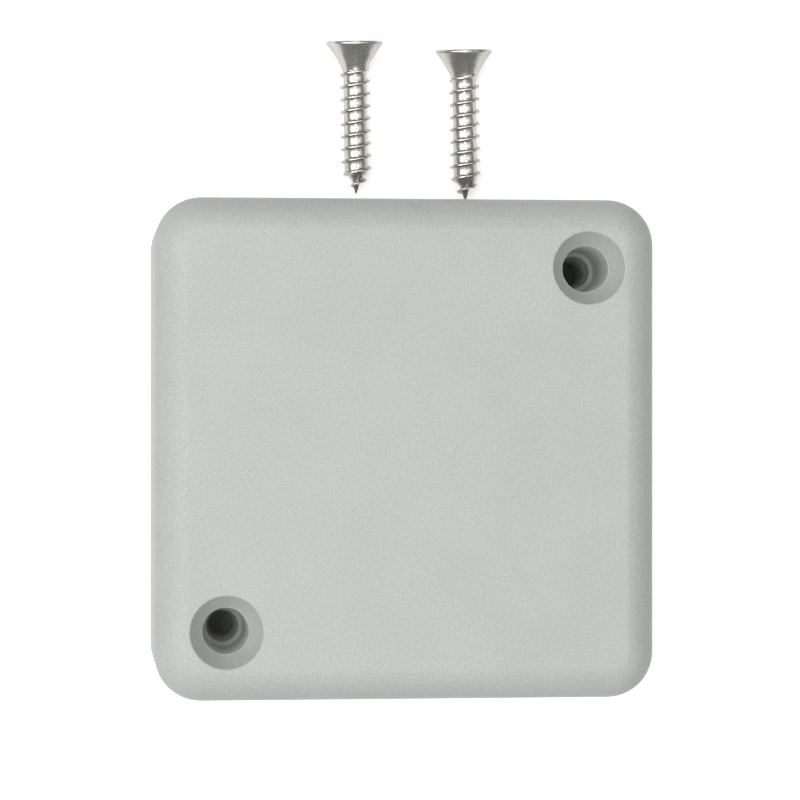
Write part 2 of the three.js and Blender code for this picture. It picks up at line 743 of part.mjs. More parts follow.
// a column of small surface-mount parts beside the battery
for (const [row, place] of [5.6, 3.3, 1].entries())
  add(`ceramic_capacitor_${row + 1}`, chip(-9.4, place, PARTS_BOTTOM, 1.6, 0.8, 0.8), "tan");
for (const [row, place] of [-1.3, -3.6, -5.9].entries())
  add(`resistor_${row + 1}`, chip(-9.4, place, PARTS_BOTTOM, 1.6, 0.8, 0.5), "black");

// the loose screws lie beside the housing, points towards it
for (const { name, tip, head } of LOOSE_SCREWS) {
  const flat = new THREE.Vector3(head[0] - tip[0], head[1] - tip[1], 0).normalize();
  const direction = flat.multiplyScalar(Math.cos(SCREW_LEAN)).setZ(Math.sin(SCREW_LEAN));
  const group = new THREE.Group();
  group.quaternion.setFromUnitVectors(new THREE.Vector3(0, 0, 1), direction);
  const headEdgeAlong = SCREW.length - SCREW.headEdge;
  const pointHeight = SCREW.headRadius * Math.cos(SCREW_LEAN) - headEdgeAlong * Math.sin(SCREW_LEAN);
  group.position.set(tip[0], tip[1], pointHeight);
  sensor.add(group);
  add(name, coverScrew(), "plated", group);
}

export default sensor;
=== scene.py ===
"""Looks of the door contact sensor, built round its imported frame.

All sizes are millimetres, in the frame's own axes: +Z up, the housing lies on its back with its centre at
the origin, and the two loose cover screws lie beside its +Y side. The pieces are built in millimetres, and
place() turns each into the frame's metres. The camera, floor and lights are scaled where they are made.
"""

import json
import math
from types import SimpleNamespace as Sizes

import bmesh
import bpy
from mathutils import Matrix, Vector

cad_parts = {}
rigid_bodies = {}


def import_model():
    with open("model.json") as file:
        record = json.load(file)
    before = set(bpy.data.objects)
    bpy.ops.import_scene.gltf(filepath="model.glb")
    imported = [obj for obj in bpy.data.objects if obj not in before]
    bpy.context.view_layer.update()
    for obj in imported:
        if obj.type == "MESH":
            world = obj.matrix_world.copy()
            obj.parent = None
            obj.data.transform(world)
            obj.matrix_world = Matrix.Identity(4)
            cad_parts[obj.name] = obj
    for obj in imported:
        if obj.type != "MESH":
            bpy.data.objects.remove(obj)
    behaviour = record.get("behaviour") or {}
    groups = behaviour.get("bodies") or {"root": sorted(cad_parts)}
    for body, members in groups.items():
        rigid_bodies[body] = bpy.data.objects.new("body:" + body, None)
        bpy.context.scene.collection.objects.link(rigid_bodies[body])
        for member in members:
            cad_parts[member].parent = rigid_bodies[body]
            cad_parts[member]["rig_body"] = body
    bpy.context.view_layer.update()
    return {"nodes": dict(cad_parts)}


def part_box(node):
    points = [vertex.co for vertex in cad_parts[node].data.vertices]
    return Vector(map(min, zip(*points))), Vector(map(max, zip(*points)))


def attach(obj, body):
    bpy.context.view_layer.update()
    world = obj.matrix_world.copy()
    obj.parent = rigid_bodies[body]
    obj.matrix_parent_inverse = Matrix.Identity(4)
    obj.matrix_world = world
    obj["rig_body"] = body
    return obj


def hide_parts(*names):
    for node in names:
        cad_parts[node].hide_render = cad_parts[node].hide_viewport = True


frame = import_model()

MM = 0.001
GAP = 0.3

# ---------------------------------------------------------------- sizes shared with the CAD

HOUSING = Sizes(side=50, height=20, corner=4.6, edge=3.1, crease=17, crease_width=0.6, wall=2)
BASE = Sizes(thickness=2.2, rim_wall=1.2, rim_height=1.8)
WELL = Sizes(offset=18, rim=3.63, mouth=2.37, shoulder=2.1, hole=1.65, tube=3.7, floor=1.6)
WELL.cone_depth, WELL.shoulder_depth = 2.5, 10.3
BOSS = Sizes(radius=3.2, pilot=1.3, pilot_floor=2.4)
WALL_HOLE = Sizes(offset=18, radius=1.8, sink=3.4, sink_depth=1.3)
POST = Sizes(x=18.2, y=11.4, radius=2.1, top=4.7, pilot=1.15, pin=0.9, pin_top=6.7)
TAMPER_POST = Sizes(x=8, y=-16.8, bottom=13.3, radius=1.7)
COVER_BOTTOM = BASE.thickness + GAP
CAVITY_TOP = HOUSING.height - HOUSING.wall
WELL_BOTTOM = HOUSING.height - WELL.shoulder_depth - WELL.floor
SCREW_CORNERS = [(1, 1), (-1, -1)]
WALL_CORNERS = [(1, -1), (-1, 1)]
FOUR_CORNERS = [(-1, -1), (-1, 1), (1, -1), (1, 1)]

SCREW = Sizes(
    length=15.9,
    head=2.95,
    head_edge=0.3,
    flare=3.3,
    core=1.2,
    thread=1.6,
    pitch=1.29,
    start=0.7,
    full=2.6,
    point=1.8,
    turns=10.2,
    recess_span=3,
    recess_width=0.75,
    recess_depth=1.5,
)
LOOSE_SCREWS = {
    "cover_screw_1": dict(tip=(-3.56, 26.5), head=(-3.93, 42.3), turned=0.44),
    "cover_screw_2": dict(tip=(7.95, 25.75), head=(7.54, 41.55), turned=0.2),
}


# ---------------------------------------------------------------- mesh tools


def new_object(name, bm):
    """A Blender object from a bmesh. It stays in millimetres until place() finishes it."""
    bmesh.ops.recalc_face_normals(bm, faces=bm.faces)
    mesh = bpy.data.meshes.new(name)
    bm.to_mesh(mesh)
    bm.free()
    piece = bpy.data.objects.new(name, mesh)
    bpy.context.scene.collection.objects.link(piece)
    return piece


def apply_modifiers(piece):
    graph = bpy.context.evaluated_depsgraph_get()
    mesh = bpy.data.meshes.new_from_object(piece.evaluated_get(graph), depsgraph=graph)
    piece.modifiers.clear()
    piece.data = mesh


def combine(piece, others, operation):
    """Joins the other objects to a piece, or cuts them out of it, and removes them."""
    for other in others:
        modifier = piece.modifiers.new(operation.lower(), "BOOLEAN")
        modifier.operation = operation
        modifier.object = other
        modifier.solver = "EXACT"
    apply_modifiers(piece)
    for other in others:
        bpy.data.objects.remove(other)


def bevel(piece, width, segments, angle=35):
    """Rounds a piece's sharp edges over."""
    modifier = piece.modifiers.new("bevel", "BEVEL")
    modifier.width = width
    modifier.segments = segments
    modifier.limit_method = "ANGLE"
    modifier.angle_limit = math.radians(angle)
    modifier.harden_normals = False


def smooth(piece, angle):
    """Smooth shading, with flat faces kept flat and edges over the angle kept sharp."""
    piece.data.shade_smooth()
    piece.data.set_sharp_from_angle(angle=math.radians(angle))
    modifier = piece.modifiers.new("even normals", "WEIGHTED_NORMAL")
    modifier.keep_sharp = True


def place(piece, look, replaced=(), body="base", angle=30):
    """Finishes a piece: millimetres to metres, its material, and what it rides on and stands for."""
    shortest_edge = 0.0005
    apply_modifiers(piece)
    bm = bmesh.new()
    bm.from_mesh(piece.data)
    bmesh.ops.dissolve_degenerate(bm, edges=bm.edges, dist=shortest_edge)
    bm.to_mesh(piece.data)
    bm.free()
    piece.data.transform(Matrix.Scale(MM, 4))
    smooth(piece, angle)
    piece.data.materials.clear()
    piece.data.materials.append(look)
    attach(piece, body)
    if replaced:
        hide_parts(*replaced)


def ring_faces(bm, below, above):
    """Faces between two closed rings, either of which may be a single point."""
    count = max(len(below), len(above))
    for i in range(count):
        j = (i + 1) % count
        corners = [below[i % len(below)], below[j % len(below)], above[j % len(above)], above[i % len(above)]]
        unique = list(dict.fromkeys(corners))
        if len(unique) > 2:
            bm.faces.new(unique)


def stacked(name, rings):
    """A closed body through rings of points, from the lowest to the highest."""
    bm = bmesh.new()
    made = [[bm.verts.new(point) for point in ring] for ring in rings]
    for below, above in zip(made, made[1:]):
        ring_faces(bm, below, above)
    if len(made[0]) > 2:
        bm.faces.new(made[0])
    if len(made[-1]) > 2:
        bm.faces.new(made[-1])
    return new_object(name, bm)


def lathed(name, profile, x=0, y=0, sides=64):
    """A body turned about a vertical axis through (x, y), from (radius, z) points that run upwards."""
    rings = []
    for radius, z in profile:
        count = sides if radius > 0 else 1
        angles = [math.tau * i / sides for i in range(count)]
        rings.append([(x + radius * math.cos(a), y + radius * math.sin(a), z) for a in angles])
    return stacked(name, rings)


def rod(name, x, y, z0, z1, radius, sides):
    return lathed(name, [(radius, z0), (radius, z1)], x, y, sides)


def block(name, low, high, round_over=0, segments=2):
    """A box between two corners, with its edges rounded over."""
    bm = bmesh.new()
    bmesh.ops.create_cube(bm, size=1)
    size = Vector(high) - Vector(low)
    middle = (Vector(high) + Vector(low)) / 2
    bmesh.ops.transform(bm, matrix=Matrix.LocRotScale(middle, None, size), verts=bm.verts)
    if round_over:
        bmesh.ops.bevel(bm, geom=bm.edges, offset=round_over, segments=segments, profile=0.5, affect="EDGES")
    return new_object(name, bm)


def centred_block(name, x, y, z, width, depth, height, round_over=0):
    low = (x - width / 2, y - depth / 2, z)
    return block(name, low, (x + width / 2, y + depth / 2, z + height), round_over)


def rounded_square(side, radius, z, steps):
    """A square with round corners, as points at one level."""
    points = []
    centre = side / 2 - radius
    for quarter, (sign_x, sign_y) in enumerate([(1, 1), (-1, 1), (-1, -1), (1, -1)]):
        for step in range(steps + 1):
            angle = math.pi / 2 * (quarter + step / steps)
            points.append(
                (sign_x * centre + radius * math.cos(angle), sign_y * centre + radius * math.sin(angle), z)
            )
    return points


def rounded_block(name, side, corner, z0, z1, edge, foot=0, edge_steps=14, crease=0, crease_width=0):
    """A square block whose upper edge is rounded over, and whose lower edge may be chamfered.

    The round is edge millimetres wide. It runs smoothly into the top face, or comes to it at an angle of
    crease degrees, which a second, slighter round of crease_width millimetres takes up.
    """
    meeting = math.radians(crease)
    edge -= crease_width / 2
    radius = edge / (1 - math.sin(meeting))
    easing = crease_width / math.sin(meeting) if crease else 0
    foot_of_easing = z1 - easing * (1 - math.cos(meeting))
    levels = []
    for step in range(edge_steps + 1):
        angle = (math.pi / 2 - meeting) * step / edge_steps
        height = foot_of_easing - radius * (math.cos(meeting) - math.sin(angle))
        levels.append((radius * (1 - math.cos(angle)), height))
    if crease_width:
        easing_steps = 6
        for step in range(1, easing_steps + 1):
            left = meeting * (1 - step / easing_steps)
            height = z1 - easing * (1 - math.cos(left))
            levels.append((edge + crease_width - easing * math.sin(left), height))
    rings, steps = [], 14
    if foot:
        rings.append(rounded_square(side - 2 * foot, corner - foot, z0, steps))
    rings.append(rounded_square(side, corner, z0 + foot, steps))
    rings += [rounded_square(side - 2 * inset, corner - inset, height, steps) for inset, height in levels]
    return stacked(name, rings)


def lerp(low, high, share):
    return low + (high - low) * share


def smoothstep(low, high, value):
    share = min(1, max(0, (value - low) / (high - low)))
    return share * share * (3 - 2 * share)


def quarter_round(x, z, half_x, half_z, steps, start=0):
    """Profile points round a quarter of an ellipse about (x, z), by default from its side to its top."""
    angles = [start + math.pi / 2 * step / steps for step in range(steps + 1)]
    return [(x + half_x * math.cos(angle), z + half_z * math.sin(angle)) for angle in angles]


# ---------------------------------------------------------------- camera, floor and light


def make_camera():
    """Looks down on the housing from a little to its left."""
    camera = bpy.data.objects.new("camera", bpy.data.cameras.new("camera"))
    bpy.context.scene.collection.objects.link(camera)
    yaw, pitch, roll = (math.radians(angle) for angle in (-6.01, 0.17, 0.02))
    turn = Matrix.Rotation(yaw, 4, "Y") @ Matrix.Rotation(pitch, 4, "X") @ Matrix.Rotation(roll, 4, "Z")
    camera.matrix_world = Matrix.Translation(Vector((-32.51, 3.96, 320)) * MM) @ turn
    camera.data.sensor_width = 36
    camera.data.lens = 137.5
    camera.data.clip_start = 0.01
    bpy.context.scene.camera = camera


def make_floor():
    """A plain white table. It glows a little for the camera and in reflections, so that it stays even."""
    half_side = 290
    seen_white, bounced_white, glow = (0.93,) * 3, (0.87,) * 3, 0.45
    bm = bmesh.new()
    bmesh.ops.create_grid(bm, x_segments=1, y_segments=1, size=half_side)
    floor = new_object("floor", bm)
    floor.data.transform(Matrix.Scale(MM, 4))
    material, tree, shader = new_material("white_table", Roughness=0.9, Specular_IOR_Level=0.1)
    shader.inputs["Emission Color"].default_value = (1, 1, 1, 1)
    ray = add_node(tree, "LightPath").outputs
    seen = add_node(tree, "Math", {0: ray["Is Camera Ray"], 1: ray["Is Glossy Ray"]}, operation="MAXIMUM")
    lift = add_node(tree, "Math", {0: seen.outputs[0], 1: glow}, operation="MULTIPLY")
    tree.links.new(lift.outputs[0], shader.inputs["Emission Strength"])
    white = shades(tree, ray["Is Diffuse Ray"], seen_white, bounced_white)
    tree.links.new(white, shader.inputs["Base Color"])
    floor.data.materials.append(material)


def make_world():
    """A dim room that lights the object, a brighter one that shiny surfaces mirror, and a white backdrop."""
    room_light, mirrored_light = 0.07, 0.3
    world = bpy.data.worlds.new("studio")
    bpy.context.scene.world = world
    world.use_nodes = True
    tree = world.node_tree
    tree.nodes.clear()
    ray = add_node(tree, "LightPath").outputs
    strength = spread(tree, ray["Is Glossy Ray"], room_light, mirrored_light, 0, 1)
    room = add_node(tree, "Background", {"Color": (0.97, 0.98, 1, 1), "Strength": strength})
    backdrop = add_node(tree, "Background", {"Color": (1, 1, 1, 1), "Strength": 1})
    mix = add_node(tree, "MixShader", {0: ray["Is Camera Ray"], 1: room.outputs[0], 2: backdrop.outputs[0]})
    add_node(tree, "OutputWorld", {"Surface": mix.outputs[0]})


def area_light(name, position, target, side, watts):
    lamp = bpy.data.lights.new(name, "AREA")
    lamp.shape = "RECTANGLE"
    lamp.size = lamp.size_y = side * MM
    lamp.energy = watts
    lamp.color = (1, 1, 0.99)
    light = bpy.data.objects.new(name, lamp)
    bpy.context.scene.collection.objects.link(light)
    light.location = Vector(position) * MM
    light.rotation_mode = "QUATERNION"
    light.rotation_quaternion = (Vector(target) - Vector(position)).to_track_quat("-Z", "Y")


def make_lights():
    """Two rings of soft boxes round the camera. The inner ring reaches into the wells, down to their step."""
    brightness = 0.975
    rings = [
        dict(name="inner", tilt=17.5, size=0.24, share=0.45, left=0.4, right=0.2, front=0.2, back=0.2),
        dict(name="outer", tilt=40, size=0.5, share=0.55, left=0.54, right=0.12, front=0.21, back=0.12),
    ]
    sides = {"left": (-1, 0, 520), "right": (1, 0, 950), "front": (0, -1, 900), "back": (0, 1, 900)}
    for ring in rings:
        tilt = math.radians(ring["tilt"])
        for side, (toward_x, toward_y, distance) in sides.items():
            share = ring["share"] * ring[side]
            watts = share * brightness * (math.pi * distance * MM) ** 2 / math.cos(tilt)
            out = distance * math.sin(tilt)
            spot = (toward_x * out, toward_y * out, distance * math.cos(tilt))
            name = f"{ring['name']}_box_{side}"
            area_light(name, spot, (0, 0, HOUSING.height), ring["size"] * distance, watts)


def make_studio():
    make_camera()
    make_floor()
    make_world()
    make_lights()
    view = bpy.context.scene.view_settings
    view.view_transform = "Standard"
    view.look = "None"


# ---------------------------------------------------------------- materials


def add_node(tree, kind, inputs=None, **properties):
    """A shader node. Each of its inputs is given a value, or is linked to another node's output."""
    node = tree.nodes.new("ShaderNode" + kind)
    for name, value in properties.items():
        setattr(node, name, value)
    for name, value in (inputs or {}).items():
        if isinstance(value, bpy.types.NodeSocket):
            tree.links.new(value, node.inputs[name])
        else:
            node.inputs[name].default_value = value
    return node


def grain(tree, size, detail, roughness=0.5, stretch=(1, 1, 1)):
    """Noise in the object's own coordinates, whose grains are about the given size in millimetres."""
    coordinates = add_node(tree, "TexCoord").outputs["Object"]
    stretched = add_node(tree, "Mapping", {"Vector": coordinates, "Scale": stretch}).outputs["Vector"]
    settings = {"Vector": stretched, "Scale": 1 / (size * MM), "Detail": detail, "Roughness": roughness}
    return add_node(tree, "TexNoise", settings).outputs["Fac"]


def spread(tree, value, low, high, start=0.3, end=0.7):
    """The value, which runs from start to end, stretched to run from low to high."""
    settings = {"Value": value, "From Min": start, "From Max": end, "To Min": low, "To Max": high}
    return add_node(tree, "MapRange", settings).outputs["Result"]


def shades(tree, value, dark, light):
    """A colour between two, picked by a value from 0 to 1."""
    settings = {"Factor": value, "A": (*dark, 1), "B": (*light, 1)}
    return add_node(tree, "Mix", settings, data_type="RGBA").outputs["Result"]


def bumps(tree, height, distance):
    """Surface relief of a depth in millimetres."""
    return add_node(tree, "Bump", {"Height": height, "Distance": distance * MM}).outputs["Normal"]


def new_material(name, **inputs):
    """A principled material, and its node tree and shader."""
    material = bpy.data.materials.new(name)
    material.use_nodes = True
    tree = material.node_tree
    shader = tree.nodes["Principled BSDF"]
    for label, value in inputs.items():
        shader.inputs[label.replace("_", " ")].default_value = value
    return material, tree, shader


def moulded_plastic(name, dark, light, roughness, texture=0.22, depth=0.02):
    """Spark-eroded moulded plastic: a fine even texture, with a faint slow mottle in its colour, and painted
    shade in the texture's pits, where the fine grain that sinks the bumps also darkens the colour.
    """
    slow_share, mottle_size = 0.14, 6
    material, tree, shader = new_material(name, IOR=1.5, Sheen_Weight=0.22, Sheen_Roughness=0.35)
    slow = spread(tree, grain(tree, mottle_size, 3), 0, slow_share)
    fine = grain(tree, texture, 3, 0.6)
    # the colour: the slow mottle, plus the fine grain, which is a random fine tone and also painted shade,
    # darker where the bumps sink
    mottle_and_pit_shade = add_node(tree, "Math", {0: slow, 1: spread(tree, fine, 0, 1 - slow_share)}, operation="ADD")
    tree.links.new(shades(tree, mottle_and_pit_shade.outputs[0], dark, light), shader.inputs["Base Color"])
    tree.links.new(spread(tree, fine, roughness - 0.05, roughness + 0.06), shader.inputs["Roughness"])
    tree.links.new(bumps(tree, fine, depth), shader.inputs["Normal"])
    return material


def metal(name, colour, roughness, texture=0.15, depth=0.003, stretch=(1, 1, 1)):
    """Plated or bare metal: fine marks in its polish, and a slow change of tone."""
    tarnish, stain_size = 0.85, 2.5
    material, tree, shader = new_material(name, Metallic=1.0, Specular_Tint=(0.75, 0.75, 0.75, 1))
    slow = grain(tree, stain_size, 3)
    worn = tuple(channel * tarnish for channel in colour)
    tree.links.new(shades(tree, spread(tree, slow, 0, 1), worn, colour), shader.inputs["Base Color"])
    fine = grain(tree, texture, 4, 0.6, stretch)
    tree.links.new(spread(tree, fine, roughness * 0.7, roughness * 1.4), shader.inputs["Roughness"])
    tree.links.new(bumps(tree, fine, depth), shader.inputs["Normal"])
    return material


def clear_material(name, colour, roughness):
    """Clear glass or resin, with a trace of unevenness in its surface."""
    look = dict(Roughness=roughness, IOR=1.5, Transmission_Weight=1, Base_Color=(*colour, 1))
    material, tree, shader = new_material(name, **look)
    tree.links.new(bumps(tree, grain(tree, 0.9, 2), 0.004), shader.inputs["Normal"])
    return material


# ---------------------------------------------------------------- housing


def well_profile():
    """The inside of a screw well, from below the tube up to above the face, with its rim eased."""
    top = HOUSING.height
    shoulder = top - WELL.shoulder_depth
    cone_bottom = top - WELL.cone_depth
    slope = math.atan2(WELL.rim - WELL.mouth, WELL.cone_depth)
    ease = 0.22
    profile = [
        (WELL.hole, WELL_BOTTOM - 1),
        (WELL.hole, shoulder),
        (WELL.shoulder - 0.08, shoulder),
        (WELL.shoulder, shoulder + 0.08),
        (WELL.mouth - 0.05, cone_bottom - 0.02),
        (WELL.mouth - 0.03, cone_bottom),
        (WELL.mouth, cone_bottom + 0.02),
    ]
    steps = 6
    centre = (WELL.rim + ease * 0.62, top - ease)
    for step in range(steps + 1):
        angle = math.pi - slope - (math.pi / 2 - slope) * step / steps
        profile.append((centre[0] + ease * math.cos(angle), centre[1] + ease * math.sin(angle)))
    return [*profile, (centre[0], top + 1)]


def make_cover(look):
    shell = rounded_block(
        "cover_shell",
        HOUSING.side,
        HOUSING.corner,
        COVER_BOTTOM,
        HOUSING.height,
        HOUSING.edge,
        crease=HOUSING.crease,
        crease_width=HOUSING.crease_width,
    )
    wall = HOUSING.wall
    inner_side, inner_corner, inner_edge = HOUSING.side - 2 * wall, HOUSING.corner - wall, HOUSING.edge - wall
    bottom = COVER_BOTTOM - 1
    cavity = rounded_block("cavity", inner_side, inner_corner, bottom, CAVITY_TOP, inner_edge, edge_steps=5)
    combine(shell, [cavity], "DIFFERENCE")
    post = TAMPER_POST
    tip = [(post.radius - 0.3, post.bottom), (post.radius, post.bottom + 0.3), (post.radius, CAVITY_TOP + 1)]
    inner = [lathed("tamper_post", tip, post.x, post.y)]
    # the wall ribs and the gussets run a little way into the walls and the top that carry them
    face = HOUSING.side / 2 - wall
    root, rib_top = 0.4, CAVITY_TOP + 0.5
    rib_depth, rib_half, rib_place = 0.6, 0.5, 9
    rib_bottom = BASE.thickness + BASE.rim_height + 2 * GAP
    for side in (-1, 1):
        near, far = sorted((side * (face - rib_depth), side * (face + root)))
        for spot in (-rib_place, rib_place):
            low, high = spot - rib_half, spot + rib_half
            inner.append(block("rib", (near, low, rib_bottom), (far, high, rib_top)))
            inner.append(block("rib", (low, near, rib_bottom), (high, far, rib_top)))
    tools = []
    half, bottom = 0.6, WELL_BOTTOM + 1
    for sign_x, sign_y in SCREW_CORNERS:
        x, y = sign_x * WELL.offset, sign_y * WELL.offset
        inner.append(rod("tube", x, y, WELL_BOTTOM, CAVITY_TOP + 1, WELL.tube, 64))
        near, far = WELL.offset + 3, face + root
        x0, x1 = sorted((sign_x * near, sign_x * far))
        y0, y1 = sorted((sign_y * near, sign_y * far))
        inner.append(block("gusset", (x0, y - half, bottom), (x1, y + half, rib_top)))
        inner.append(block("gusset", (x - half, y0, bottom), (x + half, y1, rib_top)))
        tools.append(lathed("well", well_profile(), x, y, 96))
    combine(shell, inner, "UNION")
    combine(shell, tools, "DIFFERENCE")
    place(shell, look, ["cover"], body="cover", angle=12)


def make_base(look):
    thickness = BASE.thickness
    rim_top, rim_wall = thickness + BASE.rim_height, BASE.rim_wall
    plate = rounded_block(
        "base_tray", HOUSING.side, HOUSING.corner, 0, thickness, edge=0.12, foot=0.4, edge_steps=3
    )
    side, corner = HOUSING.side - 2 * (HOUSING.wall + GAP), HOUSING.corner - HOUSING.wall - GAP
    rim = rounded_block("rim", side, corner, thickness / 2, rim_top, edge=0.25, edge_steps=3)
    side, corner = side - 2 * rim_wall, corner - rim_wall
    inside = rounded_block("inside", side, corner, 0, rim_top + 1, edge=0.1, edge_steps=1)
    combine(rim, [inside], "DIFFERENCE")
    added, tools = [rim], []
    for sign_x, sign_y in SCREW_CORNERS:
        x, y = sign_x * WELL.offset, sign_y * WELL.offset
        top, radius = WELL_BOTTOM - GAP, BOSS.radius
        foot = [(radius + 0.1, thickness / 2), (radius, thickness + 1)]
        added.append(lathed("boss", [*foot, (radius, top - 0.15), (radius - 0.15, top)], x, y))
        bore = [(BOSS.pilot, BOSS.pilot_floor), (BOSS.pilot, top - 1)]
        lead_in = [(WELL.hole, top - 0.1), (WELL.hole + 0.2, top + 0.1)]
        tools.append(lathed("pilot", bore + lead_in, x, y, 48))
    for sign_x, sign_y in WALL_CORNERS:
        hole = WALL_HOLE
        bore = [(hole.radius, -1), (hole.radius, thickness - hole.sink_depth)]
        sink = [(hole.sink, thickness), (hole.sink, thickness + 1)]
        tools.append(lathed("wall_hole", bore + sink, sign_x * hole.offset, sign_y * hole.offset))
    for sign_x, sign_y in FOUR_CORNERS:
        x, y = sign_x * POST.x, sign_y * POST.y
        radius, top = POST.radius, POST.top
        post = [(radius + 0.15, thickness / 2), (radius, thickness + 0.4)]
        post += [(radius, top - 0.1), (radius - 0.1, top)]
        if sign_x == sign_y:
            post += [(POST.pin, top), (POST.pin, POST.pin_top - 0.3), (POST.pin - 0.3, POST.pin_top)]
        else:
            tools.append(rod("pilot", x, y, thickness + GAP, top + 1, POST.pilot, 32))
        added.append(lathed("post", post, x, y))
    combine(plate, added, "UNION")
    combine(plate, tools, "DIFFERENCE")
    place(plate, look, ["base"])


# ---------------------------------------------------------------- loose cover screws


def core_radius(z):
    """The point is a slender cone that swells to the core, and the head's underside is a trumpet."""
    slender = 0.1 + 0.25 * z
    core = lerp(slender, SCREW.core, smoothstep(SCREW.point - 0.3, SCREW.point + 0.5, z))
    depth = SCREW.length - SCREW.head_edge - z
    left = max(0, 1 - depth / SCREW.flare)
    steepness = 1.55
    return core + (SCREW.head - SCREW.core) * left**steepness


def crest_radius(turn, z):
    """The thread's outer radius: it grows out of the point and dies away under the head."""
    point_radius, turns_to_grow, turns_to_die = 0.45, 0.5, 1.1
    full = SCREW.thread
    core = core_radius(z)
    grown = lerp(point_radius, full, z / SCREW.full)
    born = lerp(core, full, turn / turns_to_grow)
    dying = lerp(core, full, (SCREW.turns - turn) / turns_to_die)
    return max(core, min(full, grown, born, dying))


def thread_rows(per_turn):
    """Sections across one pitch, wound up the core: each is a list of (radius, angle, z)."""
    # the ridge's section: shares of the pitch from its middle, and shares of its height
    rise = [(-0.5, 0), (-0.2, 0), (-0.14, 0.08), (-0.05, 0.97), (0, 1)]
    fall = [(0.05, 0.97), (0.14, 0.08), (0.2, 0)]
    rows = []
    for i in range(round(SCREW.turns * per_turn) + 1):
        turn = i / per_turn
        middle = SCREW.start + SCREW.pitch * turn
        row = []
        for across, share in rise + fall:
            z = middle + SCREW.pitch * across
            radius = lerp(core_radius(z), crest_radius(turn, middle), share)
            row.append((radius, math.tau * turn, z))
        rows.append(row)
    return rows


def make_screw(name):
    """One continuous skin: the point, the wound thread, the plain shank, the trumpet and the head."""
    per_turn = 40
    pitch, top, head = SCREW.pitch, SCREW.length, SCREW.head
    bm = bmesh.new()

    def vertex(radius, angle, z):
        return bm.verts.new((radius * math.cos(angle), radius * math.sin(angle), z))

    def fan(centre, column):
        for a, b in zip(column, column[1:]):
            bm.faces.new((centre, a, b))

    grid = [[vertex(*corner) for corner in row] for row in thread_rows(per_turn)]
    last = len(grid) - 1
    # above the thread's last turn its lower edge runs on alone, as a helix on the core
    for i in range(last + 1, last + 1 + per_turn):
        turn = i / per_turn
        z = SCREW.start + pitch * (turn - 0.5)
        grid.append([vertex(core_radius(z), math.tau * turn, z)])
    for i in range(last):
        left = [*grid[i], grid[i + per_turn][0]]
        right = [*grid[i + 1], grid[i + 1 + per_turn][0]]
        for k in range(len(left) - 1):
            bm.faces.new((left[k], right[k], right[k + 1], left[k + 1]))
    apex = vertex(0, 0, 0)
    fan(apex, [grid[i][0] for i in range(per_turn, -1, -1)])
    fan(apex, [*grid[0], grid[per_turn][0]])
    # above the helix, level rings with the same angles as the last turn
    first, edge, steps = SCREW.start + pitch * (last / per_turn + 0.6), top - SCREW.head_edge, 16
    heights = [lerp(first, edge, step / steps) for step in range(steps + 1)]
    profile = [(core_radius(z), z) for z in heights]
    profile += [(head, top - 0.16), (head - 0.05, top - 0.05), (head - 0.16, top)]
    angles = [math.tau * (last + i) / per_turn for i in range(per_turn)]
    rings = [[vertex(radius, angle, z) for angle in angles] for radius, z in profile]
    end_loop = [grid[last + i][0] for i in range(per_turn + 1)]
    for i in range(per_turn):
        bm.faces.new((end_loop[i], end_loop[i + 1], rings[0][(i + 1) % per_turn], rings[0][i]))
    fan(rings[0][0], [end_loop[-1], *grid[last][::-1]])
    for below, above in zip(rings, rings[1:]):
        ring_faces(bm, below, above)
    bm.faces.new(rings[-1])
    bmesh.ops.remove_doubles(bm, verts=bm.verts, dist=1e-5)
    screw = new_object(name + "_steel", bm)
    size = SCREW.recess_span, SCREW.recess_width, SCREW.recess_depth
    combine(screw, [cross_tool(*size, top, turn) for turn in (0, math.pi / 2)], "DIFFERENCE")
    return screw


def cross_tool(span, width, depth, top, angle):
    """One bar of a cross recess, narrower at its floor."""
    bm = bmesh.new()
    turned = Matrix.Rotation(angle, 2)
    rings = []
    # shares of the span and of the width at the recess's floor, at the top and above it
    for share_x, share_y, z in ((0.5125, 0.8125, top - depth), (1, 1, top), (1.15, 1.15, top + 0.5)):
        reach = Vector((span / 2 * share_x, width / 2 * share_y))
        corners = [turned @ (reach * Vector(signs)) for signs in ((-1, -1), (1, -1), (1, 1), (-1, 1))]
        rings.append([bm.verts.new((*corner, z)) for corner in corners])
    for below, above in zip(rings, rings[1:]):
        ring_faces(bm, below, above)
    bm.faces.new(rings[0])
    bm.faces.new(rings[-1])
    return new_object("recess", bm)


def lay_screw(screw, spot):
    """Lays a screw on its head's edge and its first full thread, with its point at the tip."""
    edge_height = SCREW.length - SCREW.head_edge
    lean = math.atan2(SCREW.head - SCREW.thread, edge_height - SCREW.full)
    tip, head = Vector(spot["tip"]), Vector(spot["head"])
    flat = (head - tip).normalized() * math.cos(lean)
    direction = Vector((flat.x, flat.y, math.sin(lean)))
    turn = Vector((0, 0, 1)).rotation_difference(direction).to_matrix().to_4x4()
    rise = SCREW.head * math.cos(lean) - edge_height * math.sin(lean)
    roll = Matrix.Rotation(math.tau * spot["turned"], 4, "Z")
    screw.data.transform(Matrix.Translation((tip.x, tip.y, rise)) @ turn @ roll)


def make_screws(look):
    for name, spot in LOOSE_SCREWS.items():
        screw = make_screw(name)
        lay_screw(screw, spot)
        place(screw, look, [name], body=name, angle=40)


# ---------------------------------------------------------------- circuit board

BOARD = Sizes(half=21, notch=7.4, notch_radius=1.2, corner=0.8, bottom=5, top=6.6)
REED_HOLE = Sizes(x=18.4, y=8.4, radius=0.58)
REED = Sizes(lead=0.28, bore=0.75, cavity=5.4, bend=0.7)
CHIP_ROWS = (5.6, 3.3, 1, -1.3, -3.6, -5.9)  # the small two-ended parts beside the battery
LEG_PLACES = [-2.275 + 0.65 * i for i in range(8)]  # along each side of the microcontroller


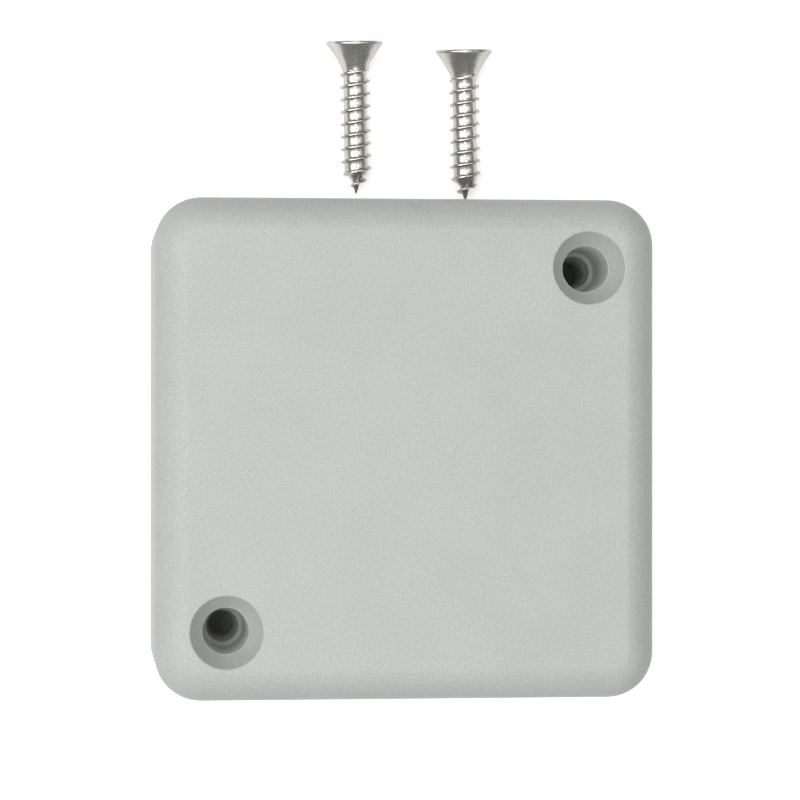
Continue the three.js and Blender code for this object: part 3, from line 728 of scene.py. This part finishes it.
def node_box(name):
    """A CAD node's lowest and highest corners and the middle of its plan, in millimetres."""
    low, high = (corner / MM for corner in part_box(name))
    return low, high, (low.x + high.x) / 2, (low.y + high.y) / 2


def extruded(name, outline, z0, z1):
    """A flat outline, as (x, y) points, given a thickness."""
    return stacked(name, [[(x, y, z) for x, y in outline] for z in (z0, z1)])


def arc(x, y, radius, start, end, steps=6):
    angles = [lerp(start, end, step / steps) for step in range(steps + 1)]
    return [(x + radius * math.cos(angle), y + radius * math.sin(angle)) for angle in angles]


def quarter_turns(points):
    """The points, and then the same points turned about the origin by one, two and three quarter turns."""
    turned = []
    for c, s in ((1, 0), (0, 1), (-1, 0), (0, -1)):
        turned += [(x * c - y * s, x * s + y * c) for x, y in points]
    return turned


def board_outline():
    """A square with a square notch at each corner, all its corners rounded."""
    half, corner, notch = BOARD.half, BOARD.corner, BOARD.notch_radius
    inner = half - BOARD.notch
    quarter = math.pi / 2
    return quarter_turns(
        [
            *arc(half - corner, inner - corner, corner, 0, quarter),
            *arc(inner + notch, inner + notch, notch, -quarter, -2 * quarter),
            *arc(inner - corner, half - corner, corner, 0, quarter),
        ]
    )


def side_faces(piece, look):
    """Gives the faces that stand upright a second material."""
    piece.data.materials.append(look)
    for face in piece.data.polygons:
        if abs(face.normal.z) < 0.5:
            face.material_index = 1


def make_board(mask, laminate, copper):
    board = extruded("circuit_board_laminate", board_outline(), BOARD.bottom, BOARD.top)
    screw_hole, screw_ring, lead_ring = 1.3, 0.75, 0.5
    holes = [(sign_x * POST.x, sign_y * POST.y, screw_hole, screw_ring) for sign_x, sign_y in FOUR_CORNERS]
    holes += [(REED_HOLE.x, sign * REED_HOLE.y, REED_HOLE.radius, lead_ring) for sign in (-1, 1)]
    low, high = BOARD.bottom - 1, BOARD.top + 1
    combine(board, [rod("drill", x, y, low, high, radius, 32) for x, y, radius, _ in holes], "DIFFERENCE")
    bevel(board, 0.06, 1)
    place(board, mask, ["circuit_board"])
    side_faces(board, laminate)
    low, high = BOARD.top - 0.02, BOARD.top + 0.04
    rings = [washer("ring", x, y, low, high, radius + 0.02, radius + width) for x, y, radius, width in holes]
    place(joined("board_hole_rings", rings), copper)


def rectangle(x, y, half_x, half_y):
    """The corners of a rectangle, in order round it."""
    turns = [(-1, -1), (1, -1), (1, 1), (-1, 1)]
    return [(x + sign_x * half_x, y + sign_y * half_y) for sign_x, sign_y in turns]


def washer(name, x, y, z0, z1, inner, outer, sides=32):
    """A flat ring with a square section."""
    bm = bmesh.new()
    angles = [math.tau * i / sides for i in range(sides)]
    loops = []
    for radius, z in ((inner, z0), (outer, z0), (outer, z1), (inner, z1)):
        loops.append([bm.verts.new((x + radius * math.cos(a), y + radius * math.sin(a), z)) for a in angles])
    for below, above in zip(loops, [*loops[1:], loops[0]]):
        ring_faces(bm, below, above)
    return new_object(name, bm)


def joined(name, pieces):
    """Several separate bodies as one piece."""
    bm = bmesh.new()
    for piece in pieces:
        bm.from_mesh(piece.data)
        bpy.data.objects.remove(piece)
    return new_object(name, bm)


def ribbon(name, points, width, z0, z1):
    """A flat track of one width along a bent line, with mitred bends and round ends."""
    half = width / 2
    line = [Vector(point) for point in points]
    left, right = [], []
    for i, point in enumerate(line):
        before = (point - line[i - 1]).normalized() if i else (line[1] - point).normalized()
        after = (line[i + 1] - point).normalized() if i + 1 < len(line) else before
        along = (before + after).normalized()
        reach = half / max(0.5, along.dot(before))
        across = Vector((-along.y, along.x)) * reach
        left.append(tuple(point + across))
        right.append(tuple(point - across))

    def cap(end, inner):
        out = end - inner
        middle = math.atan2(out.y, out.x)
        return arc(*end, half, middle + math.pi / 2, middle - math.pi / 2)[1:-1]

    outline = [*left, *cap(line[-1], line[-2]), *right[::-1], *cap(line[0], line[1])]
    return extruded(name, outline, z0, z1)


# signal tracks from part to part, as bent lines
TRACKS = [
    [(-11.2, 2.275), (-11.05, 2.4), (-11.05, 5.25), (-10.7, 5.6), (-10.3, 5.6)],
    [(-11.2, 1.625), (-10.75, 2.05), (-10.75, 3), (-10.45, 3.3), (-10.3, 3.3)],
    [(-11.2, 0.975), (-10.3, 1)],
    [(-11.2, -0.975), (-10.85, -1.3), (-10.3, -1.3)],
    [(-11.2, -1.625), (-10.75, -2.05), (-10.75, -3.3), (-10.45, -3.6), (-10.3, -3.6)],
    [(-11.2, -2.275), (-11.05, -2.4), (-11.05, -5.55), (-10.7, -5.9), (-10.3, -5.9)],
    [(-15.975, 3.7), (-15.975, 5.6)],
    [(-14.025, 3.7), (-14.025, 5.6)],
    [(-15.325, -3.7), (-15.325, -4.9), (-14.65, -5.6)],
    [(-13.375, -3.7), (-13.375, -7.4), (-13.55, -7.9)],
    [(-18.7, 2.275), (-19.4, 2.275), (-20.1, 2.975), (-20.1, 5.2)],
    [(-18.7, 0.325), (-19.6, 0.325)],
    [(-18.7, -1.625), (-19.3, -1.625), (-20.1, -2.425), (-20.1, -6)],
    [(-17.275, 3.7), (-17.275, 7.6), (-15.7, 9.2), (-12, 9.2), (-8.9, 12.3)],
    [(-8.5, 5.6), (-7.04, 7.06), (-7.04, 12.3)],
    [(-8.5, 3.3), (-5.47, 6.33), (-5.47, 12.3)],
    [(-8.5, 1), (-7.6, 1), (-4, 4.6), (-4, 12.3)],
    [(-8.5, -1.3), (-5.2, -4.6), (-5.2, -11.6)],
    [(-8.5, -3.6), (-6.3, -5.8), (-6.3, -12.3), (-5.8, -12.8)],
    [(-8.5, -5.9), (-7.4, -7), (-7.4, -11.2), (-8.8, -12.6), (-11.6, -12.6), (-12.3, -13.3), (-12.3, -14.3)],
    [(-17.275, -3.7), (-17.275, -5.8), (-18, -6.5), (-18, -8)],
    [(10.9, -13.1), (13.3, -13.1), (17.6, -8.8)],
    [(5.75, -13.6), (4.8, -14.4)],
    [(17.9, 8.9), (16.9, 9.9), (16.9, 11.6), (15.6, 12.9), (12.2, 12.9), (11, 14.1), (10.6, 14.1)],
    [(20.2, -10), (20.2, 10)],
    [(12.6, 15), (12.6, 19.2)],
]
POWER_TRACKS = [
    [(-14.5, -8.2), (-14.5, -10.3), (-13.3, -11.5), (-10.2, -11.5)],
    [(-2.4, -16.6), (-3.4, -15.6), (-3.4, -14)],
    [(16.3, 2.4), (16.3, 7), (13.2, 10.1), (13.2, 10.9), (11.9, 12.2), (9.4, 12.2)],
    [(16.3, -2.4), (16.3, -6.4), (13.4, -9.3), (13.4, -11.5), (12.6, -12.3)]
    + [(4.6, -12.3), (3.7, -13.2), (3.7, -15.6), (2.9, -16.4)],
]
VIAS = [
    (-20.1, 5.2), (-19.6, 0.325), (-20.1, -6), (-18, -8), (-5.2, -11.6), (-10.2, -11.5), (20.2, -10),
    (20.2, 10), (12.6, 15), (12.6, 19.2), (-12.4, 12.3), (-19.7, 9), (-19.7, -9.6), (-3.4, -14),
    (15.4, -10.4), (4.8, -14.4), (-16.9, 9.4), (-12, 6.9), (3.6, -19.9), (-3.6, -19.9), (-4.3, 2.2),
    (-4.3, -1.6), (19.9, 3), (19.9, -3),
]


def make_tracks(covered_copper, copper):
    bottom, top = BOARD.top - 0.03, BOARD.top + 0.035
    tracks = [ribbon("track", points, 0.2, bottom, top) for points in TRACKS]
    tracks += [ribbon("track", points, 0.7, bottom, top) for points in POWER_TRACKS]
    place(joined("board_tracks", tracks), covered_copper)
    rings = [washer("via", x, y, BOARD.top - 0.02, BOARD.top + 0.05, 0.16, 0.36, 16) for x, y in VIAS]
    place(joined("board_vias", rings), copper)


def make_print(ink):
    """White outlines round the parts, and a plus sign by the battery's strap. There is no lettering."""
    lines = []
    for spot in ((-8, -16.8, 3.3, 3.3), (8, -16.8, 3.3, 3.3), (-15, 6.6, 2, 1.65)):
        corners = rectangle(*spot)
        lines += [[a, b] for a, b in zip(corners, [*corners[1:], corners[0]])]
    for row in CHIP_ROWS:
        lines += [[(-10.2, row + side), (-8.6, row + side)] for side in (0.65, -0.65)]
    lines.append([(-4, -12.3), (-4, 12.3), (4, 12.3)])
    lines.append([(-4, -12.3), (4, -12.3)])
    lines += [[(17.3, 4.4), (18.5, 4.4)], [(17.9, 3.8), (17.9, 5)]]
    ribbons = [ribbon("line", line, 0.14, BOARD.top - 0.02, BOARD.top + 0.045) for line in lines]
    place(joined("board_print", ribbons), ink)


def make_pads(solder):
    """Tinned pads with a low mound of solder under each small part's ends and legs."""
    level = BOARD.top - 0.02
    spots = []
    for row in CHIP_ROWS:
        spots += [(-9.4 + sign * 0.85, row, 0.75, 0.95) for sign in (-1, 1)]
    for sign in (-1, 1):
        spots += [(-15 + sign * 0.95, 6.6 + up * 0.8, 1, 0.8) for up in (-1, 1)]
        spots.append((-14.5 + sign * 0.95, -8.15, 0.7, 0.7))
        spots.append((-12.3, -15.4 + sign * 0.95, 1.2, 0.6))
        spots.append((sign * 2.4, -16.6, 1.6, 1.4))
    spots.append((-14.5, -5.9, 0.7, 0.7))
    for centre in (-8, 8):
        spots += [(centre + sx * 2.25, -16.8 + sy * 3.45, 1, 0.9) for sx, sy in FOUR_CORNERS]
    spots.append((16.2, 0, 1.5, 5.4))
    pads = [mound("pad", x, y, level, width, depth, 0.11) for x, y, width, depth in spots]
    for along in LEG_PLACES:
        for sign in (-1, 1):
            pads.append(mound("pad", -15 + along, sign * 3.45, level, 0.36, 0.7, 0.09))
            pads.append(mound("pad", -15 + sign * 3.45, along, level, 0.7, 0.36, 0.09))
    place(joined("board_solder_pads", pads), solder, angle=60)


def mound(name, x, y, z, width, depth, height):
    """A low pillow of solder."""
    rings = []
    for inset, rise in ((0, 0), (0.02, 0.35), (0.12, 0.75), (0.3, 1)):
        cut = inset * min(width, depth)
        half_x, half_y = width / 2 - cut, depth / 2 - cut
        rings.append([(*corner, z + rise * height) for corner in rectangle(x, y, half_x, half_y)])
    return stacked(name, rings)


def make_solder_joints(solder):
    """Cones of solder round the reed switch's leads, above the board and below it."""
    top, bottom = BOARD.top, BOARD.bottom
    above = [(1, top), (0.9, top + 0.06), (0.55, top + 0.25), (0.36, top + 0.6), (0.3, top + 0.85)]
    below = [(0.3, bottom - 1.05), (0.36, bottom - 0.7), (0.6, bottom - 0.3)]
    below += [(0.95, bottom - 0.05), (1.05, bottom)]
    cones = []
    for sign in (-1, 1):
        cones += [lathed("joint", profile, REED_HOLE.x, sign * REED_HOLE.y, 24) for profile in (above, below)]
    place(joined("reed_solder_joints", cones), solder, angle=60)


def make_board_screws(look):
    for name in ("board_screw_1", "board_screw_2"):
        low, high, x, y = node_box(name)
        under = high.z - 1.4
        profile = [(0.35, low.z), (1, low.z + 0.6), (1, under - 0.02), (1.85, under), (1.9, under + 0.08)]
        profile += quarter_round(0.65, under + 0.55, 1.25, 0.85, 8)
        head = lathed(name + "_steel", profile, x, y)
        tools = [cross_tool(2.1, 0.5, 0.8, high.z, turn) for turn in (0.4, 0.4 + math.pi / 2)]
        for tool in tools:
            tool.data.transform(Matrix.Translation((x, y, 0)))
        combine(head, tools, "DIFFERENCE")
        place(head, look, [name])


# ---------------------------------------------------------------- reed switch


def domed(near, far, end, depth):
    """Profile points that swell from one radius to another in a quarter round, back from an end."""
    steps = 8
    angles = [math.pi / 2 * step / steps for step in range(steps + 1)]
    return [(near + (far - near) * math.sin(a), end - depth * (1 - math.cos(a))) for a in angles]


def mirrored(half):
    """A whole profile from its upper half, whose points run downwards."""
    return [(radius, -z) for radius, z in half] + half[::-1]


def wire(name, x, path, radius):
    """A round wire along a line of (y, z) points in the upright plane at x."""
    sides = 20
    line = [Vector(point) for point in path]
    rings = []
    for i, point in enumerate(line):
        along = (line[min(i + 1, len(line) - 1)] - line[max(i - 1, 0)]).normalized()
        across = Vector((-along.y, along.x))
        ring = []
        for k in range(sides):
            angle = math.tau * k / sides
            y, z = point + across * radius * math.sin(angle)
            ring.append((x + radius * math.cos(angle), y, z))
        rings.append(ring)
    return stacked(name, rings)


def make_reed(glass, nickel):
    """A glass tube sealed round a wire at each end, with the two contact blades inside it."""
    low, high, x, _ = node_box("reed_glass")
    z = (low.z + high.z) / 2
    radius, half = (high.x - low.x) / 2, (high.y - low.y) / 2
    seal = REED.lead + 0.005
    tube = lathed("reed_glass_tube", mirrored(domed(seal + 0.12, radius, half, 0.65)), sides=48)
    inside = [(seal, half + 1), *domed(seal, REED.bore, REED.cavity, 0.4)]
    combine(tube, [lathed("bore", mirrored(inside), sides=48)], "DIFFERENCE")
    tube.data.transform(Matrix.Translation((x, 0, z)) @ Matrix.Rotation(-math.pi / 2, 4, "X"))
    place(tube, glass, ["reed_glass"], angle=50)
    bend = REED_HOLE.y - REED.bend
    for i, sign in enumerate((-1, 1)):
        name = f"reed_lead_{i + 1}"
        low, high, *_ = node_box(name)
        inner_end = min(abs(low.y), abs(high.y))
        path = [(inner_end, z), (half, z), *quarter_round(bend, z - REED.bend, REED.bend, REED.bend, 8)[::-1]]
        path += [(REED_HOLE.y, level) for level in (BOARD.top, BOARD.bottom, low.z)]
        lead = wire(name + "_wire", x, [(sign * y, level) for y, level in path], REED.lead)
        place(lead, nickel, [name], angle=60)
        eased_node(f"reed_blade_{i + 1}", nickel, 0.03)


def eased_node(name, look, round_over):
    """A piece in a CAD node's own shape, with its edges rounded over."""
    node = frame["nodes"][name]
    bm = bmesh.new()
    bm.from_mesh(node.data)
    bm.transform(Matrix.Scale(1 / MM, 4) @ node.matrix_world)
    bmesh.ops.remove_doubles(bm, verts=bm.verts, dist=0.001)
    bmesh.ops.dissolve_limit(bm, angle_limit=math.radians(1), verts=bm.verts, edges=bm.edges)
    piece = new_object(name + "_sheet", bm)
    bevel(piece, round_over, 2, 30)
    place(piece, look, [name], body=node["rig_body"], angle=35)


# ---------------------------------------------------------------- battery and its holder


def tongue(centre_x, radius, reach):
    """An outline with a round end towards +X and a square end towards -X."""
    round_end = arc(centre_x, 0, radius, -math.pi / 2, math.pi / 2, 40)
    return [(centre_x - reach, -radius), *round_end, (centre_x - reach, radius)]


def make_holder(plastic):
    low, high, *_ = node_box("battery_holder")
    radius = (high.y - low.y) / 2
    wall, floor, above = 1.4, 0.8, high.z + 1
    x = high.x - radius
    reach = x - low.x
    holder = extruded("battery_holder_body", tongue(x, radius, reach), low.z, high.z)
    tools = [
        extruded("pocket", tongue(x, radius - wall, reach + 1), low.z + floor, above),
        lathed("window", [(5.2, low.z - 1), (5.2, low.z + 2)], x - 1, 0, 64),
        block("slot", (high.x - 3, -3.4, high.z - 1.1), (high.x + 1, 3.4, above)),
    ]
    for side in (-radius, radius):
        tools.append(block("notch", (x - 3, side - 1.6, high.z - 1.6), (x + 1.5, side + 1.6, above)))
    bed = block("bed", (x - 7.6, -2.3, low.z), (x + 5.6, 2.3, low.z + floor))
    combine(holder, tools, "DIFFERENCE")
    combine(holder, [bed], "UNION")
    bevel(holder, 0.18, 3, 40)
    place(holder, plastic, ["battery_holder"], angle=40)


def make_battery(steel, gasket):
    """The cell's lower cap and its seal, and the can over them, with a plus sign sunk in its top."""
    low, high, x, _ = node_box("battery")
    radius, bottom, top = (high.x - low.x) / 2, low.z, high.z
    cap = [(8.6, bottom), (8.85, bottom + 0.08), (8.9, bottom + 0.3), (8.95, bottom + 0.62)]
    place(lathed("battery_cap", cap, x, 0, 96), steel, body="battery")
    seal = [(8.98, bottom + 0.42), (9.35, bottom + 0.4), (9.4, bottom + 0.6)]
    place(lathed("battery_seal", seal, x, 0, 96), gasket, body="battery")
    can = [(9.42, bottom + 0.5), (9.75, bottom + 0.5)]
    can += quarter_round(radius - 0.25, bottom + 0.75, 0.25, 0.25, 6, start=-math.pi / 2)
    can += quarter_round(radius - 0.4, top - 0.4, 0.4, 0.4, 8)
    can += [(9.05, top), (8.95, top - 0.07), (8.75, top - 0.07), (8.65, top)]
    shell = lathed("battery_can", can, x, 0, 96)
    thin, long, middle_y = 0.25, 1.2, 6.3
    corners = quarter_turns([(long, -thin), (long, thin), (thin, thin)])
    plus = extruded("plus", [(x + a, middle_y + b) for a, b in corners], top - 0.12, top + 1)
    combine(shell, [plus], "DIFFERENCE")
    place(shell, steel, ["battery"], body="battery")


# ---------------------------------------------------------------- radio module


def make_radio(mask, laminate, copper, shield_metal, ceramic, tin, tan):
    low, high, *_ = node_box("radio_board")
    board = block("radio_board_laminate", low, high)
    bevel(board, 0.05, 1)
    place(board, mask, ["radio_board"])
    side_faces(board, laminate)
    bottom, height = low.z - 0.12, 0.96
    contacts = []
    for i in range(12):
        x = lerp(low.x + 1.4, high.x - 1.4, i / 11)
        contacts.append(centred_block("contact", x, low.y + 0.3, bottom, 0.8, 0.66, height, 0.04))
    for i in range(4):
        y = lerp(low.y + 1.6, high.y - 1.8, i / 3)
        contacts.append(centred_block("contact", high.x - 0.3, y, bottom, 0.66, 0.8, height, 0.04))
    place(joined("radio_contacts", contacts), copper)
    make_shield(shield_metal, tin)
    make_antenna(ceramic, tin)
    level = node_box("chip_antenna")[0].z - 0.15
    for i, y in enumerate((14.2, 16.6, 19)):
        two_end_chip(f"radio_passive_{i + 1}", -4.5, y, level, (0.5, 1, 0.5), tan, tin)


def make_shield(steel, tin):
    """The radio's metal can, with a row of holes in its top and two seams in its side."""
    low, high, *_ = node_box("radio_shield")
    can = block("radio_shield_can", low, high, 0.32, 4)
    cuts = []
    for i in range(6):
        x = lerp(low.x + 1.6, high.x - 1.6, i / 5)
        cuts.append(rod("hole", x, low.y + 1.3, high.z - 0.2, high.z + 1, 0.28, 24))
    for y in (low.y + 0.9, low.y + 5.6):
        cuts.append(block("seam", (low.x - 1, y, low.z - 1), (low.x + 0.12, y + 0.1, high.z - 0.5)))
    combine(can, cuts, "DIFFERENCE")
    feet = []
    for i in range(4):
        x = lerp(low.x + 1.2, high.x - 1.2, i / 3)
        for y in (low.y - 0.05, high.y + 0.05):
            feet.append(centred_block("foot", x, y, low.z - 0.2, 0.9, 0.5, 0.35, 0.05))
    place(can, steel, ["radio_shield"])
    place(joined("radio_shield_solder", feet), tin, angle=60)


def make_antenna(ceramic, tin):
    low, high, *_ = node_box("chip_antenna")
    inset, end = Vector((0.03, 0.6, 0.02)), 0.65
    core = block("chip_antenna_ceramic", low + inset, high - inset, 0.06)
    place(core, ceramic, ["chip_antenna"])
    ends = []
    for y in (low.y, high.y - end):
        ends.append(block("end", (low.x, y, low.z - 0.15), (high.x, y + end, high.z), 0.08))
    line_low = (low.x + 0.3, low.y + 0.6, high.z - 0.04)
    ends.append(block("line", line_low, (low.x + 0.6, high.y - 0.6, high.z + 0.01)))
    place(joined("chip_antenna_ends", ends), tin)


def two_end_chip(name, x, y, z, size, body_look, end_look, replaced=()):
    """A small ceramic block with a metal cap on each end, along the longer way of its plan."""
    width, depth, height = size
    along_x = width > depth
    length = max(width, depth)
    cap = 0.22 * length
    body_size = (width - cap, depth - 0.06) if along_x else (width - 0.06, depth - cap)
    body = centred_block(name + "_body", x, y, z + 0.02, *body_size, height - 0.05, 0.04)
    place(body, body_look, replaced)
    caps = []
    for sign in (-1, 1):
        shift = sign * (length - cap) / 2
        cx, cy = (x + shift, y) if along_x else (x, y + shift)
        cap_size = (cap, depth) if along_x else (width, cap)
        caps.append(centred_block("cap", cx, cy, z - 0.1, *cap_size, height + 0.1, 0.07))
    place(joined(name + "_ends", caps), end_look)


# ---------------------------------------------------------------- chips and other small parts


def gull_wing(x, y, direction, width, z, height, reach):
    """A leg that leaves a body at a height, drops and ends in a flat foot. direction is a unit vector."""
    dx, dy = direction
    t = 0.12
    line = [(-0.15, height), (reach * 0.3, height), (reach * 0.55, t), (reach, t)]
    under = [(reach, 0), (reach * 0.5, 0), (reach * 0.26, height - t), (-0.15, height - t)]
    bm = bmesh.new()
    sides = []
    for side in (-width / 2, width / 2):
        side_x, side_y = x - dy * side, y + dx * side
        sides.append([bm.verts.new((side_x + dx * a, side_y + dy * a, z + b)) for a, b in line + under])
    bm.faces.new(sides[0])
    bm.faces.new(sides[1])
    ring_faces(bm, *sides)
    return new_object("leg", bm)


def make_microcontroller(plastic, tin):
    low, high, x, y = node_box("microcontroller")
    half = 3
    rings = [(half - 0.12, low.z + 0.06), (half, low.z + 0.42), (half - 0.1, high.z)]
    body = stacked("microcontroller_body", [rounded_square(2 * side, 0.12, z, 3) for side, z in rings])
    body.data.transform(Matrix.Translation((x, y, 0)))
    combine(body, [rod("dot", x - 2.2, y + 2.2, high.z - 0.06, high.z + 1, 0.3, 24)], "DIFFERENCE")
    bevel(body, 0.025, 2, 25)
    place(body, plastic, ["microcontroller"])
    legs = []
    for along in LEG_PLACES:
        for dx, dy in ((1, 0), (-1, 0), (0, 1), (0, -1)):
            leg_x, leg_y = x + dx * half - dy * along, y + dy * half + dx * along
            legs.append(gull_wing(leg_x, leg_y, (dx, dy), 0.26, low.z, 0.45, 0.55))
    place(joined("microcontroller_legs", legs), tin)


def make_crystal(ceramic, steel):
    low, high, *_ = node_box("crystal")
    base = block("crystal_base", low, (high.x, high.y, low.z + 0.4), 0.08)
    place(base, ceramic, ["crystal"])
    lid_low, lid_high = (low.x + 0.2, low.y + 0.2, low.z + 0.38), (high.x - 0.2, high.y - 0.2, high.z)
    place(block("crystal_lid", lid_low, lid_high, 0.16, 4), steel)


def make_regulator(plastic, tin):
    low, high, x, y = node_box("voltage_regulator")
    rings = []
    for half_x, half_y, z in ((1.36, 0.6, low.z + 0.12), (1.45, 0.7, low.z + 0.55), (1.36, 0.58, high.z)):
        rings.append([(*corner, z) for corner in rectangle(x, y, half_x, half_y)])
    body = stacked("regulator_body", rings)
    bevel(body, 0.05, 2, 20)
    place(body, plastic, ["voltage_regulator"])
    feet = [(-0.95, -1), (0.95, -1), (0, 1)]
    legs = [gull_wing(x + dx, y + sign * 0.68, (0, sign), 0.4, low.z, 0.6, 0.62) for dx, sign in feet]
    place(joined("regulator_legs", legs), tin)


def make_bulk_capacitor(aluminium, plastic, mark):
    low, high, x, y = node_box("bulk_capacitor")
    cut = 1.1
    outline = [(low.x, low.y), (high.x - cut, low.y), (high.x, low.y + cut)]
    outline += [(high.x, high.y - cut), (high.x - cut, high.y), (low.x, high.y)]
    foot = extruded("bulk_capacitor_foot", outline, low.z, low.z + 0.9)
    bevel(foot, 0.12, 2, 30)
    place(foot, plastic)
    base, top = low.z + 0.7, high.z
    profile = [(2.3, base), (2.45, base + 0.15), (2.45, base + 0.45)]
    profile += [(2.3, base + 0.6), (2.26, base + 0.75), (2.3, base + 0.9), (2.46, base + 1.1)]
    profile += [*quarter_round(2.2, top - 0.28, 0.28, 0.28, 6), (2.05, top), (1.98, top - 0.06)]
    can = lathed("bulk_capacitor_can", profile, x, y, 64)
    scores = [centred_block("score", x, y, top - 0.13, *plan, 1) for plan in ((3, 0.1), (0.1, 3))]
    combine(can, scores, "DIFFERENCE")
    place(can, aluminium, ["bulk_capacitor"])
    chord = arc(x, y, 1.93, math.radians(120), math.radians(240), 20)
    place(extruded("bulk_capacitor_mark", chord, top - 0.07, top - 0.045), mark)


def make_led(white, lens):
    low, high, x, y = node_box("status_led")
    body = block("status_led_body", low, (high.x, high.y, high.z - 0.12), 0.06)
    combine(body, [lathed("cup", [(0.3, high.z - 0.6), (0.5, high.z + 0.2)], x, y, 32)], "DIFFERENCE")
    place(body, white, ["status_led"])
    dome = quarter_round(0, high.z - 0.16, 0.44, 0.14, 6)[:-1]
    profile = [(0.32, high.z - 0.5), *dome, (0, high.z - 0.02)]
    place(lathed("status_led_lens", profile, x, y, 32), lens)


def make_switch(name, plunger, plastic, plate_metal, button_plastic, tin):
    low, high, x, y = node_box(name)
    top = high.z
    body = block(name + "_body", low, (high.x, high.y, top - 0.3), 0.15)
    combine(body, [rod("pocket", x, y, top - 1.2, top + 1, 1.95, 48)], "DIFFERENCE")
    place(body, plastic, [name])
    plate_low, plate_high = (low.x + 0.1, low.y + 0.1, top - 0.3), (high.x - 0.1, high.y - 0.1, top - 0.08)
    plate = block(name + "_plate", plate_low, plate_high, 0.05)
    combine(plate, [rod("hole", x, y, top - 2, top + 1, 2, 48)], "DIFFERENCE")
    place(plate, plate_metal)
    rivet = [(0.42, top - 0.12), (0.4, top - 0.03), (0.25, top + 0.02), (0, top + 0.03)]
    rivets = [lathed("rivet", rivet, x + sx * 2.25, y + sy * 2.25, 20) for sx, sy in FOUR_CORNERS]
    place(joined(name + "_rivets", rivets), plastic)
    legs = []
    for sx, sy in FOUR_CORNERS:
        legs.append(gull_wing(x + sx * 2.25, y + sy * 2.98, (0, sy), 0.7, low.z, 0.9, 0.8))
    place(joined(name + "_legs", legs), tin)
    low, high, *_ = node_box(plunger)
    radius = (high.x - low.x) / 2
    profile = [(radius, low.z), *quarter_round(radius - 0.3, high.z - 0.3, 0.3, 0.3, 5)]
    profile += [(radius - 0.55, high.z - 0.02), (radius - 0.7, high.z - 0.07)]
    cap = lathed(plunger + "_cap", profile, x, y, 48)
    place(cap, button_plastic, [plunger], body=plunger)


# ---------------------------------------------------------------- the scene

make_studio()
housing = moulded_plastic("housing_plastic", (0.45, 0.464, 0.444), (0.59, 0.606, 0.583), roughness=0.58)
black = moulded_plastic("black_plastic", (0.012, 0.012, 0.013), (0.022, 0.022, 0.023), 0.4, 0.12, 0.006)
chip_black = moulded_plastic("chip_epoxy", (0.016, 0.016, 0.017), (0.028, 0.028, 0.029), 0.4, 0.06, 0.004)
cream = moulded_plastic("button_plastic", (0.62, 0.58, 0.47), (0.7, 0.66, 0.55), 0.4, 0.15, 0.004)
white_resin = moulded_plastic("white_resin", (0.72, 0.72, 0.7), (0.8, 0.8, 0.78), 0.4, 0.1, 0.003)
tan = moulded_plastic("tan_ceramic", (0.33, 0.22, 0.12), (0.43, 0.3, 0.18), 0.4, 0.08, 0.004)
antenna_ceramic = moulded_plastic("antenna_ceramic", (0.66, 0.63, 0.54), (0.74, 0.71, 0.62), 0.4, 0.1, 0.004)
glaze = moulded_plastic("resistor_glaze", (0.01, 0.01, 0.012), (0.02, 0.02, 0.022), 0.25, 0.1, 0.002)
ink = moulded_plastic("board_ink", (0.7, 0.7, 0.68), (0.8, 0.8, 0.78), 0.4, 0.1, 0.004)
mask = moulded_plastic("solder_mask", (0.006, 0.085, 0.03), (0.01, 0.11, 0.042), 0.3, 0.35, 0.006)
covered_copper = moulded_plastic("masked_copper", (0.02, 0.2, 0.06), (0.03, 0.24, 0.08), 0.28, 0.3, 0.006)
laminate = moulded_plastic("laminate_edge", (0.32, 0.3, 0.14), (0.42, 0.4, 0.2), 0.6, 0.15, 0.01)
plated = metal("screw_plating", (0.58, 0.568, 0.53), roughness=0.29)
gold = metal("gold_flash", (0.9, 0.66, 0.3), 0.25, 0.1, 0.002)
tin = metal("bright_tin", (0.75, 0.74, 0.72), 0.3, 0.12, 0.003)
nickel = metal("nickel_sheet", (0.66, 0.63, 0.57), 0.28, 0.1, 0.002, stretch=(1, 8, 8))
shield_metal = metal("shield_metal", (0.7, 0.69, 0.66), 0.34, 0.08, 0.0004)
cell_steel = metal("cell_steel", (0.66, 0.65, 0.63), 0.24, 0.12, 0.0015, stretch=(1, 10, 10))
aluminium = metal("can_aluminium", (0.8, 0.8, 0.8), 0.3, 0.1, 0.001, stretch=(8, 8, 1))
glass = clear_material("reed_glass", (0.86, 0.95, 0.88), 0.02)
lens = clear_material("lamp_resin", (0.95, 0.88, 0.55), 0.12)

make_cover(housing)
make_base(housing)
make_screws(plated)
make_board(mask, laminate, gold)
make_tracks(covered_copper, gold)
make_print(ink)
make_pads(tin)
make_solder_joints(tin)
make_board_screws(plated)
make_reed(glass, nickel)
make_holder(black)
make_battery(cell_steel, black)
eased_node("battery_clip", nickel, 0.07)
eased_node("battery_contact", nickel, 0.04)
make_radio(mask, laminate, gold, shield_metal, antenna_ceramic, tin, tan)
make_microcontroller(chip_black, tin)
make_crystal(chip_black, nickel)
make_regulator(chip_black, tin)
make_bulk_capacitor(aluminium, black, glaze)
make_led(white_resin, lens)
make_switch("pairing_switch", "pairing_button", black, nickel, cream, tin)
make_switch("tamper_switch", "tamper_plunger", black, nickel, cream, tin)
chip_kinds = [("ceramic_capacitor", tan, "capacitor_ceramic"), ("resistor", glaze, "black_plastic")]
for kind, look, slot in chip_kinds:
    for name in [f"{kind}_{i}" for i in (1, 2, 3)]:
        low, high, x, y = node_box(name)
        two_end_chip(name, x, y, low.z, tuple(high - low), look, tin, [name])
